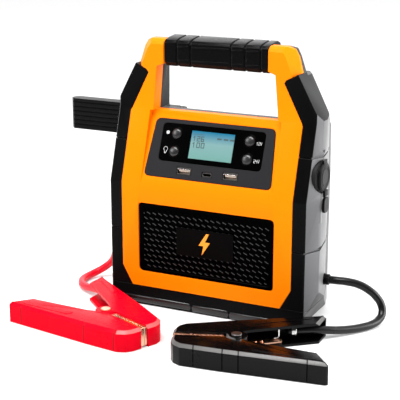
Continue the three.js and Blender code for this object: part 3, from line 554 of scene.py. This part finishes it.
for moulded_name, moulded_width in ROUNDED.items():
    refine(moulded_name, moulded_width)


# ---------------------------------------------------------------- control panel

# Places on the panel: (x, height up the slope) in millimetres
BUTTON_X, LOW_ROW, HIGH_ROW = 34.6, 31.4, 47.3
BUTTONS = {
    "power_button": (-BUTTON_X, HIGH_ROW), "light_button": (-BUTTON_X, LOW_ROW),
    "start_12v_button": (BUTTON_X, HIGH_ROW), "start_24v_button": (BUTTON_X, LOW_ROW),
}
# Profiles as (radius, height above the panel)
BUTTON_DOME = [(0, -6), (2, -6), (2, -2.4), (4.5, -2.4), (4.5, 0.35), (4.38, 0.75), (4.1, 1.15), (3.6, 1.5),
               (2.9, 1.78), (2.0, 1.98), (1.0, 2.08), (0, 2.1)]
BUTTON_COLLAR = [(4.85, 0.40), (4.9, 0.52), (5.2, 0.56), (5.5, 0.40)]
GLASS_FACE = 0.4
# The low and high sides of the printing, of the mark on top of it and of the display's segments
PRINT = (GLASS_FACE + 0.01, GLASS_FACE + 0.07)
OVERPRINT = (PRINT[1], PRINT[1] + 0.04)
SEGMENTS = (0.31, 0.36)
# Characters: width, height and stroke
LABEL = (1.35, 2.7, 0.22)
SMALL_DIGIT, WIDE_DIGIT = (2.2, 4.0, 0.75), (2.6, 4.0, 0.75)


def stroke(bm, points, width, low, high, place):
    """A line of the given width through the points, as overlapping flat bars."""
    for (ax, ay), (bx, by) in zip(points, points[1:]):
        along = Vector((bx - ax, by - ay)).normalized() * width / 2
        across = Vector((-along.y, along.x))
        a, b = Vector((ax, ay)) - along, Vector((bx, by)) + along
        corners = [a - across, b - across, b + across, a + across]
        prism(bm, [tuple(c) for c in corners], low, high, place)


def arc(centre, radius, start, end, steps=18):
    """Points on an arc, angles in degrees."""
    turns = [math.radians(start + (end - start) * i / steps) for i in range(steps + 1)]
    return [(centre[0] + radius * math.cos(t), centre[1] + radius * math.sin(t)) for t in turns]


def disc_outline(centre, radius, steps=28):
    return arc(centre, radius, 0, 360 * (steps - 1) / steps, steps - 1)


# Strokes of each character in a box 1 wide and 1 high
CHARACTERS = {
    "0": [[(0, 0), (0, 1), (1, 1), (1, 0), (0, 0)]],
    "1": [[(0.15, 0.75), (0.5, 1), (0.5, 0)]],
    "2": [[(0, 1), (1, 1), (1, 0.5), (0, 0.5), (0, 0), (1, 0)]],
    "4": [[(0, 1), (0, 0.45), (1, 0.45)], [(0.8, 1), (0.8, 0)]],
    "6": [[(1, 1), (0, 1), (0, 0), (1, 0), (1, 0.5), (0, 0.5)]],
    "V": [[(0, 1), (0.5, 0), (1, 1)]],
}


def writing(bm, text, x, h, size, level):
    """A row of characters starting at (x, h); size is (width, height, stroke), level (low, high)."""
    width, height, thick = size
    for character in text:
        for line in CHARACTERS[character]:
            stroke(bm, [(x + a * width, h + b * height) for a, b in line], thick, *level, FACE)
        x += width + 2.2 * thick


def panel_print():
    """The symbols beside the buttons: a power mark on a dot, a lamp, and the two voltages."""
    bm = bmesh.new()
    prism(bm, disc_outline((-43.3, 47.6), 1.5), *PRINT, FACE)
    bulb = (-43.0, 33.0)
    stroke(bm, arc(bulb, 1.9, -55, 235), 0.36, *PRINT, FACE)
    stroke(bm, [(-44.1, 31.4), (-43.5, 29.2), (-42.5, 29.2), (-41.9, 31.4)], 0.36, *PRINT, FACE)
    writing(bm, "12V", 41.0, 44.4, LABEL, PRINT)
    writing(bm, "24V", 41.0, 29.2, LABEL, PRINT)
    add_object("panel_symbols", mesh_from(bm, "panel_symbols"), PRINT_WHITE, "pack")
    bm = bmesh.new()
    stroke(bm, arc((-43.3, 47.5), 0.8, 125, 415), 0.28, *OVERPRINT, FACE)
    stroke(bm, [(-43.3, 47.7), (-43.3, 48.6)], 0.28, *OVERPRINT, FACE)
    add_object("power_symbol", mesh_from(bm, "power_symbol"), WINDOW, "pack")


def display_marks():
    """What the display shows: two readings, a line over them and three small battery marks."""
    bm = bmesh.new()
    writing(bm, "126", -18.2, 42.6, SMALL_DIGIT, SEGMENTS)
    writing(bm, "100", -18.2, 37.0, WIDE_DIGIT, SEGMENTS)
    for x in (5.0, 11.2, 17.0):
        stroke(bm, [(x, 46.1), (x + 2.6, 46.1)], 1.5, *SEGMENTS, FACE)
        stroke(bm, [(x + 3.1, 46.1), (x + 3.3, 46.1)], 0.6, *SEGMENTS, FACE)
    stroke(bm, [(-18.6, 48.4), (-8.6, 48.4)], 0.35, *SEGMENTS, FACE)
    add_object("display_marks", mesh_from(bm, "display_marks"), SEGMENT, "pack")


def button(name):
    """A domed button, and the raised collar round it on the panel."""
    x, h = BUTTONS[name]
    place = FACE @ Matrix.Translation((x, h, 0))
    bm = bmesh.new()
    lathe(bm, BUTTON_DOME, 48, place)
    made = add_object(name + "_dome", mesh_from(bm, name), BUTTON, body_of(name))
    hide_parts(name)
    smooth(made, 40)
    bm = bmesh.new()
    lathe(bm, BUTTON_COLLAR, 48, place)
    collar = add_object(name + "_collar", mesh_from(bm, name + "_collar"), WINDOW, "pack")
    smooth(collar, 60)


def round_rectangle(x0, x1, h0, h1, radius, steps=5):
    """A rectangle with round corners, counterclockwise."""
    corners = [(x1 - radius, h0 + radius, -90), (x1 - radius, h1 - radius, 0),
               (x0 + radius, h1 - radius, 90), (x0 + radius, h0 + radius, 180)]
    return [p for x, h, start in corners for p in arc((x, h), radius, start, start + 90, steps)]


def band(bm, loops, place):
    """Joins outlines of equal point count, each with its own height: (outline, height)."""
    rings = [[bm.verts.new(place @ Vector((a, b, height))) for a, b in outline]
             for outline, height in loops]
    for lower, upper in zip(rings, rings[1:]):
        for i in range(len(lower)):
            j = (i + 1) % len(lower)
            bm.faces.new((lower[i], lower[j], upper[j], upper[i]))


# Port node: centre x, centre height, width, height, corner radius
PORTS = {
    "usb_a_port_left": (-21.9, 15.2, 13.4, 6.0, 0.7), "usb_a_port_right": (21.9, 15.2, 13.4, 6.0, 0.7),
    "usb_c_port": (0.0, 14.2, 9.2, 3.5, 1.6),
}
# The shell of a port: (how far inside its outline, height above the panel)
PORT_SHELL = [(0, -8), (0, 0.2), (0.12, 0.3), (0.5, 0.3), (0.62, 0.1), (0.62, -6.5)]
CONTACT_PITCH, CONTACT_WIDTH = 2.2, 1.2


def port_outline(name, inset):
    """A port's opening, drawn in by `inset` on all sides."""
    x, h, width, height, corner = PORTS[name]
    wide, tall = width / 2, height / 2
    return round_rectangle(x - wide + inset, x + wide - inset, h - tall + inset, h + tall - inset, corner)


def port_shell(name):
    """The metal shell round a port's opening."""
    bm = bmesh.new()
    band(bm, [(port_outline(name, inset), height) for inset, height in PORT_SHELL], FACE)
    shell = add_object(name + "_shell", mesh_from(bm, name), PORT_METAL, "pack")
    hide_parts(name)
    smooth(shell, 30)


def port_tongue(name, half, low, high, end, material):
    """The tongue inside a port, `half` wide to each side of its middle, and the wall it stands on."""
    x, h = PORTS[name][:2]
    bm = bmesh.new()
    prism(bm, port_outline(name, 0.3), -8, -4.2, FACE)
    prism(bm, round_rectangle(x - half, x + half, h + low, h + high, 0.3), -5, end, FACE)
    tongue = add_object(name + "_tongue", mesh_from(bm, name + "_tongue"), material, "pack")
    bevelled(tongue, 0.00008)


def port_contacts(name):
    """The four contacts under the tongue of a USB-A port."""
    x, h = PORTS[name][:2]
    bm = bmesh.new()
    for i in range(4):
        left = x - 3.9 + i * CONTACT_PITCH
        right = left + CONTACT_WIDTH
        prism(bm, [(left, h - 0.6), (right, h - 0.6), (right, h - 0.3), (left, h - 0.3)], -4, -0.9, FACE)
    add_object(name + "_contacts", mesh_from(bm, name + "_contacts"), COPPER, "pack")


def port_lip(name):
    """The flared spring lip along the upper edge of a USB-A port."""
    x, h, width, height, _ = PORTS[name]
    wide, tall = width / 2, height / 2
    slope = FACE @ Matrix.Translation((x, h + tall - 0.5, 0.3)) @ Matrix.Rotation(math.radians(-52), 4, "X")
    bm = bmesh.new()
    prism(bm, [(-wide + 0.8, -1.9), (wide - 0.8, -1.9), (wide - 0.8, 0), (-wide + 0.8, 0)], -0.3, 0.0, slope)
    bevelled(add_object(name + "_lip", mesh_from(bm, name + "_lip"), STEEL, "pack"), 0.00006)


def port(name):
    """All the pieces of one port."""
    port_shell(name)
    if name == "usb_c_port":
        port_tongue(name, 2.9, -0.35, 0.35, -0.6, WINDOW)
    else:
        port_tongue(name, 5.2, -0.3, 1.9, -0.5, TONGUE)
        port_contacts(name)
        port_lip(name)


panel_print()
display_marks()
for part in BUTTONS:
    button(part)
for part in PORTS:
    port(part)


# ---------------------------------------------------------------- grille and its mark

GRILLE_HALF, GRILLE_LOW, GRILLE_HIGH = 64.6, 32.6, 95.6
# Heights over the front face: the mesh, the floor behind it and the rim round it
MESH_FACE, MESH_FLOOR, RIM_FACE = -1.6, -2.9, -0.9
CELL_PITCH = 5.66
CELL_RADIUS = CELL_PITCH / math.sqrt(3)
# Width of the painted highlight strip under each cell
DASH_WIDTH = 0.62
# How far inside its outline, and how high: the wall of a cell, and the rim
CELL_WALL = [(0, MESH_FACE), (0.32, MESH_FACE), (0.95, MESH_FACE - 0.6), (1.15, MESH_FLOOR)]
RIM = [(0, -3), (0, RIM_FACE - 0.3), (0.3, RIM_FACE), (2.6, RIM_FACE), (3.1, RIM_FACE - 0.5),
       (4.4, MESH_FACE + 0.08), (4.6, MESH_FACE - 0.2)]


def hexagon(x, z, radius):
    return arc((x, z), radius, 30, 330, 5)


def cell_centres():
    """The middles of the mesh's hexagons, every other row shifted by half a cell."""
    rows = int((GRILLE_HIGH - GRILLE_LOW) / (1.5 * CELL_RADIUS))
    columns = int(GRILLE_HALF / CELL_PITCH)
    for row in range(rows):
        z = GRILLE_LOW + 2.5 + row * 1.5 * CELL_RADIUS
        shift = CELL_PITCH / 2 * (row % 2)
        for column in range(-columns, columns + 1):
            x = column * CELL_PITCH + shift
            if abs(x) <= GRILLE_HALF - 3.2 and z <= GRILLE_HIGH - 2.6:
                yield x, z


def painted_highlight_dash(bm, x, z):
    """A painted highlight: a pale strip under a cell, where its lower edge catches the light."""
    left = (x - 0.96 * CELL_RADIUS, z - 0.40 * CELL_RADIUS)
    right = (x + 0.10 * CELL_RADIUS, z - 0.90 * CELL_RADIUS)
    strip = [(left[0], left[1] - DASH_WIDTH, MESH_FACE + 0.03),
             (right[0], right[1] - DASH_WIDTH, MESH_FACE + 0.03),
             (*right, MESH_FACE + 0.01), (*left, MESH_FACE + 0.01)]
    bm.faces.new([bm.verts.new(FRONT @ Vector(corner)) for corner in strip])


def grille_outline(inset):
    """The grille's round-cornered outline, drawn in by `inset`."""
    return round_rectangle(-GRILLE_HALF + inset, GRILLE_HALF - inset, GRILLE_LOW + inset,
                           GRILLE_HIGH - inset, 3.4, 6)


def honeycomb():
    """The grille: a mesh of hexagons in a rim, with a floor behind it."""
    bm = bmesh.new()
    highlight_strips = bmesh.new()
    for x, z in cell_centres():
        band(bm, [(hexagon(x, z, CELL_RADIUS - inset), height) for inset, height in CELL_WALL], FRONT)
        painted_highlight_dash(highlight_strips, x, z)
    bmesh.ops.remove_doubles(bm, verts=bm.verts, dist=0.00003)
    band(bm, [(grille_outline(inset), height) for inset, height in RIM], FRONT)
    prism(bm, grille_outline(0.2), -6, MESH_FLOOR - 0.02, FRONT)
    made = add_object("honeycomb_grille", mesh_from(bm, "honeycomb_grille"), GRILLE, "pack")
    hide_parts("grille_panel")
    # The painted highlights along the cells' lower edges
    add_object("grille_edge_highlights", mesh_from(highlight_strips, "grille_edge_highlights"), DASH_HIGHLIGHT, "pack")


# The bolt symbol's outline round its middle, and the height of that middle
BOLT = [(4.4, 10), (0.7, 2.2), (5.4, 2.2), (-2.6, -10), (-0.9, -1.4), (-5.6, -1.4), (1.8, 10)]
BADGE_Z = 65.1


def bolt_mark():
    """The plain bolt symbol on the plate in the middle of the grille."""
    bm = bmesh.new()
    prism(bm, BOLT, -0.62, -0.25, FRONT @ Matrix.Translation((0, BADGE_Z, 0)))
    mark = add_object("bolt_mark", mesh_from(bm, "bolt_mark"), PRINT_ORANGE, "pack")
    bevelled(mark, 0.00012)


honeycomb()
bolt_mark()


# ---------------------------------------------------------------- outlet, lamp and clamp details

OUTLET_Y, OUTLET_Z = 23, 132.3
GLAND_Y, GLAND_Z = 41, 36
# Profiles as (radius, distance from the pack's middle)
LINER = [(10.38, 80), (10.38, 94.2), (10.1, 94.5), (9.9, 94.2), (9.9, 72.7), (4.0, 72.7), (4.0, 74.6),
         (2.6, 75.2), (0, 75.3)]
CAP_FACE, RIDGE_TOP = 101.05, 101.35


def outlet_liner():
    """The metal sleeve and centre contact inside the 12 V outlet."""
    bm = bmesh.new()
    lathe(bm, LINER, 48, sideways(OUTLET_Y, OUTLET_Z))
    smooth(add_object("outlet_liner", mesh_from(bm, "outlet_liner"), STEEL, "pack"), 40)


def cap_ridges():
    """Two raised rings on the outer face of the outlet's cap."""
    bm = bmesh.new()
    for radius in (9.4, 7.7):
        ridge = [(radius - 0.45, CAP_FACE), (radius - 0.3, RIDGE_TOP), (radius + 0.3, RIDGE_TOP),
                 (radius + 0.45, CAP_FACE)]
        lathe(bm, ridge, 56, sideways(OUTLET_Y, OUTLET_Z))
    made = add_object("cap_ridges", mesh_from(bm, "cap_ridges"), GUARD, body_of("socket_cap"))
    smooth(made, 50)


LED_COLUMNS, LED_ROWS = 10, (0.3, 0.7)
LED_HALF, LED_RISE = 1.7, 0.9
# X right, second axis up, third axis to the rear
REARWARD = MILLIMETRES @ Matrix(((1, 0, 0, 0), (0, 0, 1, 0), (0, 1, 0, 0), (0, 0, 0, 1)))


def lamp_leds():
    """Two rows of square LEDs on the lamp's board, seen through its lens."""
    low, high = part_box("lamp_board")
    bm = bmesh.new()
    for row in LED_ROWS:
        for i in range(LED_COLUMNS):
            x = (low.x + (high.x - low.x) * (i + 0.5) / LED_COLUMNS) * 1000
            z = (low.z + (high.z - low.z) * row) * 1000
            square = round_rectangle(x - LED_HALF, x + LED_HALF, z - LED_HALF, z + LED_HALF, 0.5, 3)
            prism(bm, square, high.y * 1000, high.y * 1000 + LED_RISE, REARWARD)
    made = add_object("lamp_leds", mesh_from(bm, "lamp_leds"), LED_YELLOW, body_of("lamp_board"))
    bevelled(made, 0.0001)


def gland_ribs(side):
    """Two rings round the strain relief at a lead's start, on the right side or, for -1, the left."""
    bm = bmesh.new()
    for start in (99.1, 100.0):
        rib = [(4.4, start), (4.8, start + 0.12), (4.8, start + 0.42), (4.4, start + 0.54)]
        lathe(bm, rib, 32, sideways(GLAND_Y, GLAND_Z, side))
    name = "right_gland_ribs" if side > 0 else "left_gland_ribs"
    smooth(add_object(name, mesh_from(bm, name), GUARD, "pack"), 50)


# The spring on a clamp's pin: its lower and upper end, radius, turns and points to a turn
COIL_LOW, COIL_HIGH, COIL_RADIUS, COIL_TURNS, COIL_POINTS = 6.9, 11.7, 4.5, 5, 12
# Radii of the spring's wire and of the lead's wire clip, in metres
COIL_WIRE, CLIP_WIRE = 0.00062, 0.00075
# A clamp arm's outer wall: (distance from the tip, distance from the clamp's middle line)
ARM_OUTLINE = [(0, 12.5), (2.4, 18.4), (8, 23.6), (38, 31.6), (62, 37.2), (122.6, 51)]
# Distances of the joint lines from the tip
SEAMS = {"black": (18.7, 42.0, 54.7, 108.0), "red": (10.0, 40.0, 109.0)}
SEAM_WIDTH = 0.9
# The boss's distance from the tip and height, and its profile as (radius, rise off the wall)
BOSS_X, BOSS_HEIGHT = 20.0, 8.6
BOSS_PROFILE = [(4.9, -0.1), (4.75, 0.22), (4.35, 0.22), (4.2, 0.02), (0, 0.02)]
# The outline of the rib on top of an arm, as (distance from the tip, distance from the middle line)
RIB_OUTLINE = [(66, 24.0), (113, 40.5), (114, 43.4), (112.4, 44.2), (66, 30.6), (65, 27)]
# The wire clip's route in a clamp's frame, given for a fixed arm on the +Y side
WIRE_ROUTE = [(81, 27.6, 5.2), (83.6, 29.0, 5.2), (85, 29.6, 6.0), (85.3, 29.8, 9), (85.3, 29.8, 12.5),
              (85.3, 29.8, 15.4)]


def coil(colour):
    """The spring round the clamp's pin, with one leg to each arm."""
    side = fixed_side(colour)
    place = clamp_frame(colour)
    points = [place @ Vector((PIVOT_X + 5.4, side * 1.4, COIL_LOW))]
    steps = COIL_TURNS * COIL_POINTS
    for i in range(steps + 1):
        angle = math.radians(side * 20 + 360 * COIL_TURNS * i / steps)
        height = COIL_LOW + (COIL_HIGH - COIL_LOW) * i / steps
        x, y = COIL_RADIUS * math.cos(angle), COIL_RADIUS * math.sin(angle)
        points.append(place @ Vector((PIVOT_X + x, y, height)))
    points.append(place @ Vector((PIVOT_X + 5.4, -side * 1.4, COIL_HIGH)))
    name = colour + "_clamp_spring"
    made = spline(name + "_coil", points, COIL_WIRE, STEEL, body_of(name), resolution=3)
    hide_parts(name)


def arm_wall(u):
    """How far the outer wall of a clamp arm stands off the clamp's middle line, at u from the tip."""
    for (u0, w0), (u1, w1) in zip(ARM_OUTLINE, ARM_OUTLINE[1:]):
        if u <= u1:
            return w0 + (w1 - w0) * (u - u0) / (u1 - u0)
    return ARM_OUTLINE[-1][1]


def arm_seams(colour):
    """Dark joint lines: thin strips just off the moving arm's outer wall, over its chamfer and its top."""
    side = fixed_side(colour)
    place = clamp_frame(colour)
    name = colour + "_clamp_moving_arm"
    bm = bmesh.new()
    for u in SEAMS[colour]:
        rails = []
        for end in (u, u + SEAM_WIDTH):
            wall = arm_wall(end)
            path = [(wall + 0.06, 1.6), (wall + 0.06, 15.8), (wall - 2.56, 18.56), (wall - 3.4, 18.5)]
            rails.append([bm.verts.new(place @ Vector((end, -side * w, z))) for w, z in path])
        for i in range(len(rails[0]) - 1):
            bm.faces.new((rails[0][i], rails[1][i], rails[1][i + 1], rails[0][i + 1]))
    add_object(name + "_seams", mesh_from(bm, name + "_seams"), SEAM_FINISH[colour], body_of(name))


def arm_boss(colour):
    """A faint round boss with a raised rim on the moving arm's outer wall, near the jaws."""
    side = fixed_side(colour)
    name = colour + "_clamp_moving_arm"
    (u0, w0), (u1, w1) = ARM_OUTLINE[2:4]
    slope = math.atan2(w1 - w0, u1 - u0)
    on_wall = clamp_frame(colour) @ Matrix.Translation((BOSS_X, -side * arm_wall(BOSS_X), BOSS_HEIGHT))
    outward = Matrix.Rotation(-side * slope, 4, "Z") @ Matrix.Rotation(math.radians(90 * side), 4, "X")
    bm = bmesh.new()
    lathe(bm, BOSS_PROFILE, 44, on_wall @ outward)
    made = add_object(name + "_boss", mesh_from(bm, name + "_boss"), finish_of(name), body_of(name))
    smooth(made, 50)


def top_ridge(colour, arm, sign):
    """A low rib along the top of an arm, past its pivot: sign 1 for the fixed arm, -1 for the moving."""
    side = fixed_side(colour)
    place = clamp_frame(colour)
    name = f"{colour}_clamp_{arm}_arm"
    bm = bmesh.new()
    outline = [(u, sign * side * w) for u, w in RIB_OUTLINE]
    if sign * side < 0:
        outline.reverse()
    prism(bm, outline, 18.2, 18.75, place)
    made = add_object(name + "_rib", mesh_from(bm, name + "_rib"), finish_of(name), body_of(name))
    bevelled(made, 0.0003)


def clamp_wire(colour):
    """The bent steel wire that holds the lead's conductor to the terminal."""
    side = fixed_side(colour)
    place = clamp_frame(colour)
    points = [place @ Vector((u, side * w, z)) for u, w, z in WIRE_ROUTE]
    spline(colour + "_clamp_wire", points, CLIP_WIRE, STEEL, body_of(colour + "_clamp_terminal"))


# The lengths of grip between its grooves, and the heights of the two beads
GRIP_SPANS = ((-35.6, -25.4), (-22.6, 12.6), (15.4, 25.6), (28.4, 39.8))
BEAD_HEIGHTS = (220.6, 232.4)
# A bead's section as (height over its line, distance out of the face), and the lip's as (height, Y)
BEAD_SECTION = [(-0.9, 0), (-0.5, 0.5), (0, 0.62), (0.5, 0.5), (0.9, 0)]
LIP_SECTION = [(-3.4, 0.1), (-2.9, -0.5), (-1.6, -0.75), (1.8, -0.75), (2.6, -0.5), (3.0, 0.1)]
# Each length of the bumper's lip: its left end, right end and height
LIP_SPANS = ((-86, -13.2, 5.4), (-12.2, 23.4, 4.9), (24.2, 86, 4.4))


def grip_beads():
    """Raised beads along the front of the grip, broken at its grooves."""
    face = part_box("handle_grip")[0].y + 0.0001
    for number, z in enumerate(BEAD_HEIGHTS):
        bm = bmesh.new()
        for x0, x1 in GRIP_SPANS:
            rings = []
            for x, size in ((x0, 0.05), (x0 + 0.8, 1), (x1 - 0.8, 1), (x1, 0.05)):
                rings.append([bm.verts.new(Vector((x / 1000, face - out * size / 1000, (z + rise) / 1000)))
                              for rise, out in BEAD_SECTION])
            skin(bm, rings)
        made = add_object(f"grip_bead_{number}", mesh_from(bm, "grip_bead"), GRIP_RUBBER, "pack")
        smooth(made, 60)


def bumper_lip():
    """The rounded lip along the bumper's lower front edge, in three lengths that step down to the right."""
    bm = bmesh.new()
    for x0, x1, z in LIP_SPANS:
        rings = []
        for x, size in ((x0, 0.2), (x0 + 1.2, 1), (x1 - 1.2, 1), (x1, 0.2)):
            rings.append([bm.verts.new(at(x, y * size, z + rise * size)) for rise, y in LIP_SECTION])
        skin(bm, rings)
    smooth(add_object("bumper_lip", mesh_from(bm, "bumper_lip"), BUMPER_EDGE, "pack"), 60)


grip_beads()
bumper_lip()
outlet_liner()
cap_ridges()
lamp_leds()
for gland_side in (1, -1):
    gland_ribs(gland_side)
for clamp in CLAMPS:
    coil(clamp)
    clamp_wire(clamp)
    arm_seams(clamp)
    arm_boss(clamp)
    top_ridge(clamp, "fixed", 1)
    top_ridge(clamp, "moving", -1)


# ---------------------------------------------------------------- light and floor

# Each soft light: where it stands, what it points at, its size in metres and its power
LIGHTS = {
    "overhead": ((-0.05, -0.50, 1.25), (0, -0.02, 0.08), (0.95, 0.45), 24),
    "key_left": ((-1.1, -1.0, 0.9), (0, 0, 0.1), (0.7, 0.7), 12),
    "right_side": ((1.2, 0.5, 0.45), (0, 0, 0.12), (0.8, 0.9), 22),
}
# How bright the surroundings are in front of the object and behind it
SKY_FRONT, SKY_BEHIND = 0.22, 2.0
# The floor's half width in metres, its grey and the strength of its glow
FLOOR_HALF, FLOOR_TONE, FLOOR_GLOW = 6, 0.70, 0.16


def area_light(name, location, target, size, power):
    """A soft rectangular light at a place, pointing at its target."""
    data = bpy.data.lights.new(name, "AREA")
    data.shape = "RECTANGLE"
    data.size, data.size_y = size
    data.energy = power
    made = bpy.data.objects.new(name, data)
    made.location = location
    made.rotation_euler = (Vector(target) - Vector(location)).to_track_quat("-Z", "Y").to_euler()
    SCENE.collection.objects.link(made)


def sky():
    """Surroundings that are dim in front, so that black pieces stay black, and bright behind."""
    world = bpy.data.worlds.new("studio")
    SCENE.world = world
    world.use_nodes = True
    tree = world.node_tree
    new, link = tree.nodes.new, tree.links.new
    back = tree.nodes["Background"]
    place = new("ShaderNodeTexCoord")
    apart = new("ShaderNodeSeparateXYZ")
    link(place.outputs["Generated"], apart.inputs["Vector"])
    depth = new("ShaderNodeMapRange")
    depth.inputs["From Min"].default_value = -0.5
    depth.inputs["From Max"].default_value = 0.8
    depth.inputs["To Min"].default_value = SKY_FRONT
    depth.inputs["To Max"].default_value = SKY_BEHIND
    link(apart.outputs["Y"], depth.inputs["Value"])
    link(depth.outputs["Result"], back.inputs["Color"])
    back.inputs["Strength"].default_value = 1.0


def pale_floor():
    """A plain floor, with a faint glow of its own that keeps its shadows pale."""
    bm = bmesh.new()
    corners = [(-FLOOR_HALF, -FLOOR_HALF), (FLOOR_HALF, -FLOOR_HALF), (FLOOR_HALF, FLOOR_HALF),
               (-FLOOR_HALF, FLOOR_HALF)]
    prism(bm, corners, -0.01, 0.0, Matrix.Identity(4))
    floor = bpy.data.objects.new("floor", mesh_from(bm, "floor"))
    SCENE.collection.objects.link(floor)
    paint = bpy.data.materials.new("floor")
    _, shader = nodes_of(paint)
    shader.inputs["Base Color"].default_value = (FLOOR_TONE, FLOOR_TONE, FLOOR_TONE, 1)
    shader.inputs["Emission Color"].default_value = (1, 1, 1, 1)
    shader.inputs["Emission Strength"].default_value = FLOOR_GLOW
    shader.inputs["Roughness"].default_value = 0.6
    shader.inputs["Specular IOR Level"].default_value = 0.2
    floor.data.materials.append(paint)


def studio():
    SCENE.view_settings.view_transform = "Standard"
    sky()
    for name, (location, target, size, power) in LIGHTS.items():
        area_light(name, location, target, size, power)
    pale_floor()


studio()
lead("red", RED_ROUTE, LEAD_RED)
lead("black", BLACK_ROUTE, LEAD_BLACK)
